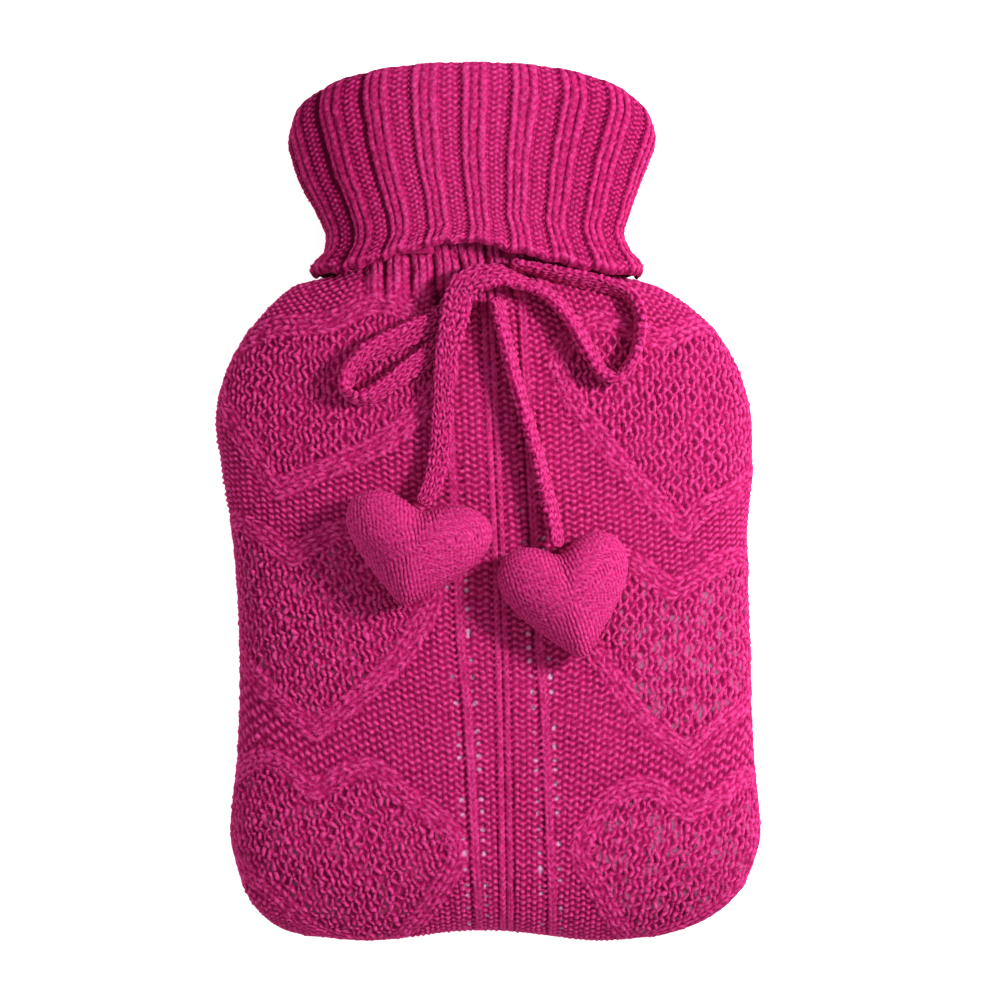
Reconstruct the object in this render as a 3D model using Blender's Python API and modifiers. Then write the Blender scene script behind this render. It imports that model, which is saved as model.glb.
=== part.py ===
"""Knitted hot water bottle cover with a turned-down ribbed collar, a bow and two stuffed hearts.

The cover lies on its back as if a filled bottle were in it: +Z is up through the front, +Y runs
towards the collar and +X to the right of the front. The origin is under the middle of the cover.
Sizes are in millimetres in the tables and are turned into metres when a mesh is made.
"""
import math
from collections import namedtuple

import bmesh
import bpy
import numpy as np

MM = 0.001
COLLECTION = "hot_water_bottle_cover"
GUIDES = "guides"

CLOTH = 3.0            # thickness of the knitted cloth
GAP = 0.3              # between pieces that touch
CORD_WIDTH = 9.5       # flat knitted cord of the tie
CORD_THICK = 3.4
HEART_FRONT = 12.5     # how far a stuffed heart swells forward of its rim
HEART_BACK = 7.5       # and backward, where it is pressed flat on the front
HEART_LIFT = 1.4       # underside of a heart above the front panel

FRONT_COLUMNS = 22
BACK_COLUMNS = 16
COLLAR_COLUMNS = 34
LONGEST_ROW = 13.0     # most that two neighbouring sections of the body lie apart

# The body's sections from the bottom seam to the neck: y, the left and right ends of the section at
# the side seam, the heights of the seam, the front's crown and the back, and how square it is.
BodySection = namedtuple("BodySection", "y left right seam crown back square")
BODY = [
    BodySection(-168.2, -71.0, 66.0, 19.0, 44.0, -1.5, 2.8),
    BodySection(-165.9, -78.9, 74.6, 19.0, 44.2, -1.5, 2.8),
    BodySection(-162.0, -85.1, 83.9, 19.0, 44.6, -1.5, 2.8),
    BodySection(-154.3, -92.0, 94.0, 19.0, 45.2, -1.5, 2.8),
    BodySection(-146.6, -95.5, 99.8, 19.0, 45.8, -1.5, 2.8),
    BodySection(-127.0, -99.2, 105.2, 19.0, 46.6, -1.5, 2.8),
    BodySection(-100.0, -96.8, 103.0, 19.0, 47.4, -1.5, 2.8),
    BodySection(-61.5, -95.9, 101.3, 19.0, 47.6, -1.5, 2.8),
    BodySection(-15.1, -98.6, 100.2, 19.0, 47.6, -1.5, 2.8),
    BodySection(15.9, -103.2, 102.1, 19.0, 47.3, -1.5, 2.8),
    BodySection(31.3, -105.2, 101.7, 19.0, 47.0, -1.5, 2.8),
    BodySection(46.8, -102.1, 98.2, 19.0, 46.5, -1.5, 2.7),
    BodySection(62.3, -94.7, 90.1, 19.2, 45.6, -1.2, 2.6),
    BodySection(70.0, -88.9, 83.5, 19.6, 45.0, -0.6, 2.5),
    BodySection(77.7, -81.6, 74.2, 20.6, 44.4, 1.0, 2.4),
    BodySection(83.1, -74.6, 65.0, 22.0, 44.0, 3.4, 2.3),
    BodySection(87.5, -58.6, 49.4, 24.4, 43.7, 6.6, 2.2),
    BodySection(92.0, -54.0, 44.8, 25.8, 43.5, 8.3, 2.2),
    BodySection(106.0, -53.6, 44.4, 26.0, 43.5, 8.5, 2.2),
]
NECK_SQUARE = 2.2
BACK_SQUARE = 3.0      # the back gains this many times the squareness that the front has over the neck's
END_ROUND = 40.0       # length over which the body closes to the bottom seam
END_SQUARE = 2.2
BOTTOM_WAVE = 2.2      # the bottom seam bows up in the middle and down towards the corners
BOTTOM_WAVE_WIDTH = 0.75
BOTTOM_WAVE_REACH = 45.0

# The middle of the collar's cloth from the hem, up the outer layer, over the fold and down the inner
# layer to the neck: y at the sides and at the middle of the front, the left and right ends, the
# heights of its underside and its front, and how much of its arch is the fold's broad one.
CollarSection = namedtuple("CollarSection", "y_side y_front left right under front broad")
COLLAR = [
    CollarSection(86.8, 98.4, -68.1, 59.2, 1.5, 53.4, 0.0),
    CollarSection(91.0, 101.5, -66.4, 57.8, 1.5, 52.6, 0.0),
    CollarSection(96.0, 105.5, -62.3, 54.0, 1.5, 51.4, 0.1),
    CollarSection(101.5, 110.0, -61.5, 51.6, 1.5, 51.2, 0.2),
    CollarSection(109.0, 118.0, -64.4, 53.3, 1.5, 52.6, 0.5),
    CollarSection(120.3, 132.0, -70.8, 57.3, 1.5, 55.6, 0.8),
    CollarSection(131.0, 147.0, -74.6, 61.4, 1.5, 57.9, 1.0),
    CollarSection(139.5, 160.5, -75.8, 63.4, 1.5, 58.5, 1.0),
    CollarSection(145.0, 166.3, -74.4, 62.0, 3.0, 57.2, 1.0),
    CollarSection(147.0, 168.4, -71.3, 58.9, 6.0, 54.4, 1.0),
    CollarSection(145.0, 166.3, -68.2, 55.8, 8.8, 51.8, 1.0),
    CollarSection(139.0, 160.0, -66.6, 54.2, 10.0, 50.2, 1.0),
    CollarSection(127.0, 142.0, -61.5, 50.0, 10.2, 46.8, 0.8),
    CollarSection(115.0, 120.0, -54.6, 44.6, 10.0, 43.6, 0.5),
    CollarSection(106.3, 106.3, -52.1, 42.9, 10.0, 42.0, 0.0),
]
COLLAR_SQUARE = 2.25
HEM_PEAK = -10.0       # the hem is highest here, left of the middle
HEM_SPREAD = 38.0
UNDER_ARCH = 0.35      # share of the hem's arch that its underside has

# The tie's routes. lift is the height of the cord's underside above the front panel, lean the angle
# of its flat side to the panel in degrees, and wide its width there as a share of the cord's.
TieRow = namedtuple("TieRow", "x y lift wide lean")
TAIL_LEFT = [
    TieRow(-10.2, 82.4, 7.0, 1.0, 0.0),
    TieRow(-11.0, 77.6, 6.9, 1.15, 0.0),
    TieRow(-12.4, 71.6, 6.6, 1.15, 2.0),
    TieRow(-14.4, 63.4, 6.0, 1.05, 4.0),
    TieRow(-16.2, 52.0, 5.2, 0.92, 5.0),
    TieRow(-17.2, 38.0, 3.8, 0.82, 4.0),
    TieRow(-17.8, 25.0, 3.2, 0.84, 2.0),
    TieRow(-19.2, 12.6, 4.2, 0.86, 0.0),
    TieRow(-22.2, 4.0, 6.0, 0.75, 0.0),
    TieRow(-25.4, -1.4, 7.2, 0.6, 0.0),
]
TAIL_RIGHT = [
    TieRow(3.3, 77.6, 1.4, 0.8, 55.0),
    TieRow(4.6, 70.0, 0.9, 0.9, 66.0),
    TieRow(6.8, 61.0, 0.7, 1.0, 72.0),
    TieRow(10.0, 48.0, 0.6, 1.0, 74.0),
    TieRow(13.8, 34.7, 0.6, 1.0, 74.0),
    TieRow(18.3, 19.4, 0.6, 1.0, 72.0),
    TieRow(22.0, 4.2, 0.8, 1.0, 68.0),
    TieRow(24.8, -7.2, 2.6, 0.88, 60.0),
    TieRow(26.4, -17.6, 7.0, 0.6, 45.0),
]
LOOP_LEFT = [
    TieRow(-12.8, 80.5, 1.4, 0.6, 10.0),
    TieRow(-14.2, 76.6, 0.9, 0.65, 8.0),
    TieRow(-16.6, 72.4, 0.8, 0.75, 8.0),
    TieRow(-21.0, 68.2, 0.8, 0.9, 10.0),
    TieRow(-27.0, 65.4, 0.8, 1.0, 14.0),
    TieRow(-34.6, 62.0, 0.8, 1.0, 20.0),
    TieRow(-42.0, 58.4, 0.8, 1.0, 28.0),
    TieRow(-48.6, 54.0, 0.7, 0.95, 42.0),
    TieRow(-53.2, 48.8, 0.7, 0.9, 60.0),
    TieRow(-54.6, 43.4, 0.7, 0.9, 80.0),
    TieRow(-51.6, 39.6, 0.7, 0.9, 100.0),
    TieRow(-45.8, 40.0, 0.7, 0.9, 122.0),
    TieRow(-38.8, 44.2, 0.7, 0.85, 140.0),
    TieRow(-31.4, 49.6, 0.6, 0.85, 155.0),
    TieRow(-24.0, 54.8, 0.6, 0.85, 166.0),
    TieRow(-18.4, 59.4, 0.6, 0.8, 175.0),
    TieRow(-14.0, 64.2, 0.6, 0.7, 180.0),
    TieRow(-11.0, 68.8, 0.6, 0.65, 180.0),
    TieRow(-9.4, 72.6, 0.6, 0.6, 180.0),
]
LOOP_RIGHT = [
    TieRow(7.8, 84.2, 0.9, 0.8, 62.0),
    TieRow(13.0, 83.2, 0.8, 0.9, 66.0),
    TieRow(19.9, 80.6, 0.7, 0.95, 70.0),
    TieRow(26.2, 76.0, 0.6, 1.0, 70.0),
    TieRow(31.8, 69.0, 0.6, 1.0, 70.0),
    TieRow(35.8, 61.6, 0.6, 1.0, 70.0),
    TieRow(40.2, 54.2, 0.6, 1.0, 72.0),
    TieRow(44.8, 48.4, 0.6, 1.0, 76.0),
    TieRow(49.6, 47.4, 0.6, 1.0, 82.0),
    TieRow(53.8, 51.6, 0.6, 1.0, 86.0),
    TieRow(56.8, 58.0, 0.6, 1.0, 84.0),
    TieRow(58.2, 66.0, 0.6, 1.0, 80.0),
    TieRow(57.4, 73.6, 0.7, 0.95, 76.0),
    TieRow(53.6, 79.2, 0.8, 0.85, 68.0),
    TieRow(46.6, 82.2, 0.8, 0.8, 54.0),
    TieRow(37.4, 84.6, 0.8, 0.8, 48.0),
    TieRow(26.8, 86.9, 0.8, 0.8, 58.0),
    TieRow(16.0, 89.2, 0.8, 0.75, 68.0),
    TieRow(8.6, 90.6, 0.9, 0.7, 72.0),
]
TIE_STEP = 5.5         # distance between the sections of a cord
CORD_SIDES = 8
CORD_CORNERS = 0.7     # exponent of the cord's rounded section: 1 is an ellipse, less is squarer
KNOT_CENTRE = (1.0, 84.4)
KNOT_SIZE = (13.6, 9.0, 10.0)
KNOT_TURN = 42.0       # degrees in the plan, of its longer side
KNOT_LIFT = 1.0
KNOT_CAGE = 1.25       # the cage is this much larger than the rounded lump that it makes
BAND_Y = 98.6          # the stretch of the tie round the neck
BAND_LIFT = 1.0
BAND_STEPS = 34
BAND_MOUTH = 16.0      # degrees left open on each side of the knot
BAND_SHARE = 0.85      # the cord is drawn in to this share of its width round the neck
BAND_SIDES = 6
BAND_CORNERS = 0.6

# The stuffed hearts: middle of the outline, width and height, turn in the plan and slope across the
# cover, both in degrees.
HeartRow = namedtuple("HeartRow", "name x y wide high turn slope")
HEARTS = [
    HeartRow("heart_left", -27.9, -19.2, 55.8, 40.4, -10.8, 3.0),
    HeartRow("heart_right", 30.9, -37.1, 49.6, 45.0, 12.8, -3.0),
]
HEART_POINTS = 26
HEART_RINGS = 4
HEART_HARMONICS = (13.0, -4.2, -1.2, -0.4)    # of the outline's height
HEART_BLUNT = 0.42     # share of a plain sine in its width, the rest a cubed one: it blunts the tip

# Linear colour, roughness and metallic value of each piece.
Finish = namedtuple("Finish", "colour roughness metallic")
FINISHES = {
    "front_panel": Finish((0.500, 0.019, 0.145, 1.0), 0.90, 0.0),
    "back_panel": Finish((0.470, 0.018, 0.135, 1.0), 0.90, 0.0),
    "collar": Finish((0.510, 0.020, 0.150, 1.0), 0.90, 0.0),
    "tie": Finish((0.480, 0.018, 0.140, 1.0), 0.85, 0.0),
    "heart": Finish((0.560, 0.026, 0.185, 1.0), 0.85, 0.0),
}


def clear_scene():
    for obj in list(bpy.data.objects):
        bpy.data.objects.remove(obj, do_unlink=True)


def collection(name):
    group = bpy.data.collections.new(name)
    bpy.context.scene.collection.children.link(group)
    return group


def material(name, finish):
    """A plain fabric material in the piece's own colour."""
    mat = bpy.data.materials.new(name + "_knit")
    mat.use_nodes = True
    shader = mat.node_tree.nodes["Principled BSDF"]
    shader.inputs["Base Color"].default_value = finish.colour
    shader.inputs["Roughness"].default_value = finish.roughness
    shader.inputs["Metallic"].default_value = finish.metallic
    return mat


def add_piece(name, data, group, finish):
    obj = bpy.data.objects.new(name, data)
    data.materials.append(material(name, finish))
    group.objects.link(obj)
    return obj


def curve_through(xs, ys, tangents, at):
    """A curve through points with a tangent given at each."""
    i = np.clip(np.searchsorted(xs, at, side="right") - 1, 0, len(xs) - 2)
    step = xs[i + 1] - xs[i]
    t = (at - xs[i]) / step
    blend = t * t * (3.0 - 2.0 * t)
    start = t * (1.0 - t) ** 2 * step
    end = t * t * (1.0 - t) * step
    return ys[i] * (1.0 - blend) + ys[i + 1] * blend + tangents[i] * start - tangents[i + 1] * end


def smooth(rows, column, at):
    """A smooth curve through one column of a table, which never swings past its rows."""
    xs = np.array([row[0] for row in rows])
    ys = np.array([getattr(row, column) for row in rows])
    slope = np.diff(ys) / np.diff(xs)
    tangents = np.zeros(len(xs))
    same_way = slope[:-1] * slope[1:] > 0
    before = np.where(same_way, slope[:-1], 1.0)
    after = np.where(same_way, slope[1:], 1.0)
    tangents[1:-1] = np.where(same_way, 2.0 / (1.0 / before + 1.0 / after), 0.0)
    tangents[0], tangents[-1] = slope[0], slope[-1]
    return curve_through(xs, ys, tangents, at)


def rounded(rows, column, at):
    """A rounded curve through one column of a table, its tangents set by the neighbouring rows."""
    xs = np.array([row[0] for row in rows])
    ys = np.array([getattr(row, column) for row in rows])
    return curve_through(xs, ys, np.gradient(ys, xs), at)


def power(value, exponent):
    """A signed power, for rounded-square sections."""
    return np.sign(value) * np.abs(value) ** exponent


def end_swell(y):
    """0 at the bottom seam, rising roundly to 1 where the body is full."""
    left = np.clip(1.0 - (y - BODY[0].y) / END_ROUND, 0.0, 1.0)
    return (1.0 - left ** END_SQUARE) ** (1.0 / END_SQUARE)


def body_grid(stations, columns, side):
    """Outer face of the front (side 1) or the back (side -1), a row for each station."""
    y = np.array(stations)[:, None]
    angle = np.linspace(math.pi, 0.0, columns + 1)[None, :]
    left, right = smooth(BODY, "left", y), smooth(BODY, "right", y)
    seam = smooth(BODY, "seam", y)
    square = smooth(BODY, "square", y)
    if side < 0:
        square = NECK_SQUARE + (square - NECK_SQUARE) * BACK_SQUARE
    edge = smooth(BODY, "crown" if side > 0 else "back", y)
    across = power(np.cos(angle), 2.0 / square)
    rise = np.abs(np.sin(angle)) ** (2.0 / square)
    rise[:, 0] = rise[:, -1] = 0.0
    x = (left + right) / 2.0 + (right - left) / 2.0 * across
    z = seam + side * GAP / 2.0 + (edge - seam) * rise * end_swell(y)
    near_end = np.clip(1.0 - (y - BODY[0].y) / BOTTOM_WAVE_REACH, 0.0, 1.0) ** 2
    wave = BOTTOM_WAVE * np.cos(math.pi * across / BOTTOM_WAVE_WIDTH) * (1.0 - np.abs(across) ** 4)
    return np.stack([x, y + wave * near_end + 0.0 * x, np.maximum(z, 0.0)], axis=-1)


def front_height(x, y):
    """Height of the front panel's outer face over a point of the plan."""
    y = np.asarray(y, dtype=float)
    left, right = smooth(BODY, "left", y), smooth(BODY, "right", y)
    seam, crown = smooth(BODY, "seam", y), smooth(BODY, "crown", y)
    square = smooth(BODY, "square", y)
    across = np.clip(np.abs((2.0 * x - left - right) / (right - left)), 0.0, 1.0)
    return seam + (crown - seam) * (1.0 - across ** square) ** (1.0 / square) * end_swell(y)


def unit(vectors):
    return vectors / np.linalg.norm(vectors, axis=-1, keepdims=True)


def grid_normals(grid, wrap):
    """Normals of a grid of points whose rows run along the piece."""
    along = np.gradient(grid, axis=0)
    if wrap:
        across = np.roll(grid, -1, axis=1) - np.roll(grid, 1, axis=1)
    else:
        across = np.gradient(grid, axis=1)
    return unit(np.cross(across, along))


def rim_normals(grid):
    """Level normals along the seam: down the left edge, along the bottom and up the right edge."""
    rim = np.concatenate([grid[:0:-1, 0], grid[0], grid[1:, -1]])
    run = np.gradient(rim, axis=0)
    level = unit(np.stack([run[:, 1], -run[:, 0], 0.0 * run[:, 0]], axis=-1))
    rows = len(grid) - 1
    return level[:rows + 1][::-1], level[rows:-rows], level[-rows - 1:]


def panel(name, stations, columns, side, group):
    """One half of the body: its outer face, an inner face a cloth's thickness inside, and its rims."""
    outer = body_grid(stations, columns, side)
    outward = grid_normals(outer, wrap=False) * side
    left, bottom, right = rim_normals(outer)
    outward[:, 0], outward[0], outward[:, -1] = left, bottom, right
    outward[-1, 1:-1, 1] = 0.0
    outward[-1] = unit(outward[-1])
    inner = outer - CLOTH * unit(outward)
    inner[..., 2] = np.maximum(inner[..., 2], CLOTH)
    inner[-1, :, 1] = outer[-1, :, 1]
    mesh = shell_mesh(name, outer, inner, wrap=False)
    return add_piece(name, mesh, group, FINISHES[name])


def finished_mesh(name, bm):
    """The mesh of a closed form, its faces pointing out."""
    bmesh.ops.recalc_face_normals(bm, faces=bm.faces)
    mesh = bpy.data.meshes.new(name)
    bm.to_mesh(mesh)
    bm.free()
    mesh.shade_smooth()
    return mesh


def shell_mesh(name, outer, inner, wrap):
    """A closed shell between two grids of points of the same shape."""
    bm = bmesh.new()
    rows, columns = outer.shape[:2]
    over, under = ([[bm.verts.new(point * MM) for point in row] for row in grid] for grid in (outer, inner))
    spans = [(j, (j + 1) % columns) for j in range(columns if wrap else columns - 1)]
    for i in range(rows - 1):
        for a, b in spans:
            for grid in (over, under):
                bm.faces.new([grid[i][a], grid[i][b], grid[i + 1][b], grid[i + 1][a]])
    for i in (0, rows - 1):
        for a, b in spans:
            bm.faces.new([over[i][a], over[i][b], under[i][b], under[i][a]])
    if not wrap:
        for j in (0, columns - 1):
            for i in range(rows - 1):
                bm.faces.new([over[i][j], over[i + 1][j], under[i + 1][j], under[i][j]])
    return finished_mesh(name, bm)


def body_stations():
    """Section heights: those of the table, with more between them where they lie far apart."""
    stations = [BODY[0].y]
    for low, high in zip(BODY, BODY[1:]):
        parts = math.ceil((high.y - low.y) / LONGEST_ROW)
        stations += [low.y + (high.y - low.y) * k / parts for k in range(1, parts + 1)]
    return stations


def collar_grid():
    """Middle of the collar's cloth, a ring for each section."""
    y_side, y_front, left, right, under, front, broad = np.array(COLLAR).T[:, :, None]
    angle = np.linspace(0.0, 2.0 * math.pi, COLLAR_COLUMNS, endpoint=False)[None, :]
    across = power(np.cos(angle), 2.0 / COLLAR_SQUARE)
    rise = power(np.sin(angle), 2.0 / COLLAR_SQUARE)
    x = (left + right) / 2.0 + (right - left) / 2.0 * across
    z = (under + front) / 2.0 + (front - under) / 2.0 * rise
    hem_arch = np.exp(-((x - HEM_PEAK) / HEM_SPREAD) ** 2) * np.where(rise > 0, rise, -UNDER_ARCH * rise)
    arch = hem_arch * (1.0 - broad) + np.abs(rise) * broad
    y = y_side + (y_front - y_side) * arch
    return np.stack([x, y, z], axis=-1)


def collar(group):
    middle = collar_grid()
    outward = grid_normals(middle, wrap=True)
    for end in (0, -1):
        outward[end, :, 1] = 0.0
    outward = unit(outward)
    outer = middle - outward * CLOTH / 2.0
    inner = middle + outward * CLOTH / 2.0
    for face in (outer, inner):
        face[..., 2] = np.maximum(face[..., 2], 0.0)
    mesh = shell_mesh("collar", outer, inner, wrap=True)
    return add_piece("collar", mesh, group, FINISHES["collar"])


def cord_section(group):
    """Outline of the flat cord: a closed curve that the routes are bevelled with."""
    curve = bpy.data.curves.new("cord_section", "CURVE")
    curve.dimensions = "2D"
    spline = curve.splines.new("POLY")
    spline.points.add(CORD_SIDES - 1)
    for k, point in enumerate(spline.points):
        angle = -2.0 * math.pi * (k + 0.5) / CORD_SIDES
        x = CORD_WIDTH / 2.0 * power(math.cos(angle), CORD_CORNERS)
        y = CORD_THICK / 2.0 * power(math.sin(angle), CORD_CORNERS)
        point.co = (x * MM, y * MM, 0.0, 1.0)
    spline.use_cyclic_u = True
    guide = bpy.data.objects.new("cord_section", curve)
    guide.hide_render = True
    guide.display_type = "WIRE"
    group.objects.link(guide)
    return guide


def even_rows(rows):
    """Rows of a route at even steps along a smooth curve through the rows of its table."""
    table = np.array(rows)
    length = np.concatenate([[0.0], np.cumsum(np.linalg.norm(np.diff(table[:, :2], axis=0), axis=1))])
    fields = rows[0]._fields
    keyed = [namedtuple("Key", ("s",) + fields)(s, *row) for s, row in zip(length, rows)]
    at = np.linspace(0.0, length[-1], max(2, round(length[-1] / TIE_STEP) + 1))
    return [TieRow(*values) for values in zip(*(rounded(keyed, column, at) for column in fields))]


def cord(name, points, leans, widths, section, group):
    """A stretch of the flat cord along its points, each with its lean and its width."""
    curve = bpy.data.curves.new(name, "CURVE")
    curve.dimensions = "3D"
    curve.twist_mode = "Z_UP"
    curve.bevel_mode = "OBJECT"
    curve.bevel_object = section
    curve.use_fill_caps = True
    spline = curve.splines.new("POLY")
    spline.points.add(len(points) - 1)
    for point, place, lean, wide in zip(spline.points, points, leans, widths):
        point.co = (place[0] * MM, place[1] * MM, place[2] * MM, 1.0)
        point.tilt = math.radians(lean)
        point.radius = wide
    return add_piece(name, curve, group, FINISHES["tie"])


def tie_stretch(name, rows, section, group):
    """A stretch that lies over the front panel at the lifts of its table."""
    even = even_rows(rows)
    points = []
    for row in even:
        lean = math.radians(row.lean)
        half_high = row.wide * (CORD_WIDTH * abs(math.sin(lean)) + CORD_THICK * abs(math.cos(lean))) / 2.0
        points.append((row.x, row.y, float(front_height(row.x, row.y)) + row.lift + half_high))
    leans = [row.lean for row in even]
    widths = [row.wide for row in even]
    return cord(name, points, leans, widths, section, group)


def tie_band(group):
    """The stretch round the neck under the collar, open in front where it runs to the knot."""
    away = BAND_LIFT + CORD_THICK / 2.0
    neck = BODY[-1]
    half_wide = (neck.right - neck.left) / 2.0 + away
    half_high = (neck.crown - neck.back) / 2.0 + away
    middle_x = (neck.left + neck.right) / 2.0
    middle_z = (neck.crown + neck.back) / 2.0
    start = math.radians(90.0 + BAND_MOUTH)
    turn = math.radians(360.0 - 2.0 * BAND_MOUTH)
    points = []
    for k in range(BAND_STEPS + 1):
        angle = start + turn * k / BAND_STEPS
        points.append((middle_x + half_wide * power(math.cos(angle), 2.0 / neck.square), BAND_Y,
                       middle_z + half_high * power(math.sin(angle), 2.0 / neck.square)))
    return band_mesh("tie_band", points, group)


def band_mesh(name, points, group):
    """A flat strap standing on edge along points in a plane across the cover."""
    path = np.array(points)
    run = unit(np.gradient(path, axis=0))
    outward = np.cross(run, (0.0, 1.0, 0.0))
    edges = []
    for k in range(BAND_SIDES):
        angle = 2.0 * math.pi * (k + 0.5) / BAND_SIDES
        wide = CORD_WIDTH * BAND_SHARE / 2.0 * power(math.cos(angle), BAND_CORNERS)
        thick = CORD_THICK / 2.0 * power(math.sin(angle), BAND_CORNERS)
        edges.append(path + outward * thick + np.array((0.0, wide, 0.0)))
    bm = bmesh.new()
    rings = [[bm.verts.new(edge[i] * MM) for edge in edges] for i in range(len(path))]
    for ring, after in zip(rings, rings[1:]):
        join_rings(bm, ring, after)
    bm.faces.new(rings[0])
    bm.faces.new(rings[-1])
    return add_piece(name, finished_mesh(name, bm), group, FINISHES["tie"])


def join_rings(bm, ring, after):
    """Faces between two rings of as many points."""
    for k in range(len(ring)):
        n = (k + 1) % len(ring)
        bm.faces.new([ring[k], ring[n], after[n], after[k]])


def knot(group):
    """The tied knot of the bow, a rounded lump that lies askew."""
    bm = bmesh.new()
    bmesh.ops.create_cube(bm, size=1.0)
    mesh = bpy.data.meshes.new("tie_knot")
    for vert in bm.verts:
        vert.co = [axis * size * MM * KNOT_CAGE for axis, size in zip(vert.co, KNOT_SIZE)]
    bm.to_mesh(mesh)
    bm.free()
    obj = add_piece("tie_knot", mesh, group, FINISHES["tie"])
    x, y = KNOT_CENTRE
    height = float(front_height(x, y)) + KNOT_LIFT + KNOT_SIZE[2] / 2.0
    obj.location = (x * MM, y * MM, height * MM)
    obj.rotation_euler = (0.0, 0.0, math.radians(KNOT_TURN))
    subsurf = obj.modifiers.new("rounding", "SUBSURF")
    subsurf.levels = subsurf.render_levels = 2
    return obj


def heart_outline(row):
    """The heart's outline about its middle, turned, as points round it."""
    t = np.linspace(0.0, 2.0 * math.pi, HEART_POINTS, endpoint=False)
    across = HEART_BLUNT * np.sin(t) + (1.0 - HEART_BLUNT) * np.sin(t) ** 3
    up = sum(weight * np.cos((k + 1) * t) for k, weight in enumerate(HEART_HARMONICS))
    low, high = up.min(), up.max()
    x = across * row.wide / 2.0
    y = (up - (low + high) / 2.0) / (high - low) * row.high
    turn = math.radians(row.turn)
    return np.stack([x * math.cos(turn) - y * math.sin(turn), x * math.sin(turn) + y * math.cos(turn)], -1)


def heart(row, group):
    """A stuffed heart: rings inside its outline, swelling forward and, less, backward."""
    outline = heart_outline(row)
    middle = float(front_height(row.x, row.y)) + HEART_LIFT + HEART_BACK
    bm = bmesh.new()
    rings = []
    for k in range(-HEART_RINGS + 1, HEART_RINGS):
        angle = math.pi / 2.0 * k / HEART_RINGS
        swell = HEART_FRONT if k > 0 else HEART_BACK
        height = swell * math.sin(angle)
        rings.append([bm.verts.new((x * math.cos(angle) * MM, y * math.cos(angle) * MM, height * MM))
                      for x, y in outline])
    back = bm.verts.new((0.0, 0.0, -HEART_BACK * MM))
    front = bm.verts.new((0.0, 0.0, HEART_FRONT * MM))
    for ring, after in zip(rings, rings[1:]):
        join_rings(bm, ring, after)
    for ring, pole in ((rings[0], back), (rings[-1], front)):
        for j in range(HEART_POINTS):
            bm.faces.new([ring[j], ring[(j + 1) % HEART_POINTS], pole])
    obj = add_piece(row.name, finished_mesh(row.name, bm), group, FINISHES["heart"])
    obj.location = (row.x * MM, row.y * MM, middle * MM)
    obj.rotation_euler = (0.0, -math.radians(row.slope), 0.0)
    return obj


def main():
    clear_scene()
    parts = collection(COLLECTION)
    guides = collection(GUIDES)
    stations = body_stations()
    panel("front_panel", stations, FRONT_COLUMNS, 1, parts)
    panel("back_panel", stations, BACK_COLUMNS, -1, parts)
    collar(parts)
    section = cord_section(guides)
    tie_band(parts)
    knot(parts)
    tie_stretch("tie_loop_left", LOOP_LEFT, section, parts)
    tie_stretch("tie_loop_right", LOOP_RIGHT, section, parts)
    tie_stretch("tie_tail_left", TAIL_LEFT, section, parts)
    tie_stretch("tie_tail_right", TAIL_RIGHT, section, parts)
    for row in HEARTS:
        heart(row, parts)


main()
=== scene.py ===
"""Looks of the knitted hot water bottle cover: its stitches, cables, ribbed collar, bow and hearts.

The cover lies on its back: +Z is up through the front, +Y runs towards the collar and +X to the right.
Lengths are in millimetres. The body, the collar, the tie and the stuffed hearts have the part's own
tables, but the knot has one of its own, and the collar's fold lies a little lower. Every knitted
surface is a fine grid of points over the part's form, raised by the height of its stitches. An
attribute tells how deep a point lies among its neighbours, and the yarn's colour follows it as
painted shade in the deep places and painted light on the high ones.
"""
import math
from collections import namedtuple
from types import SimpleNamespace

import bpy
import numpy as np
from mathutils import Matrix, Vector


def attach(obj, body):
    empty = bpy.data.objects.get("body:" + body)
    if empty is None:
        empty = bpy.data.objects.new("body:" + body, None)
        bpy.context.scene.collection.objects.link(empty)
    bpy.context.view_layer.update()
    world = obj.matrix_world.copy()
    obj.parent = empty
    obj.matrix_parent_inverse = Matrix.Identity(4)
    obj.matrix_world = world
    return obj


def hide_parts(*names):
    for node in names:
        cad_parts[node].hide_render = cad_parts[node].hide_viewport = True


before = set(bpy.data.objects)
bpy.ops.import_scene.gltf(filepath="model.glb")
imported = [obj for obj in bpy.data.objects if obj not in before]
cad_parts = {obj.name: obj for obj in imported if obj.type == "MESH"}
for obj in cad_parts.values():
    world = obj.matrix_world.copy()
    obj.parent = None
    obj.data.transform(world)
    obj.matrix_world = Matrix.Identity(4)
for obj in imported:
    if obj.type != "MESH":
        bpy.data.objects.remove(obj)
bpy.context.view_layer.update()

MM = 0.001


def named_table(columns, *rows):
    """A table as a list of rows, whose values have the names of its columns."""
    row_of = namedtuple("Row", columns)
    return [row_of(*values) for values in rows]


CLOTH = 3  # thickness of the knitted cloth
CORD_WIDTH = 9.5  # flat knitted cord of the tie
CORD_THICK = 3.4

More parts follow.
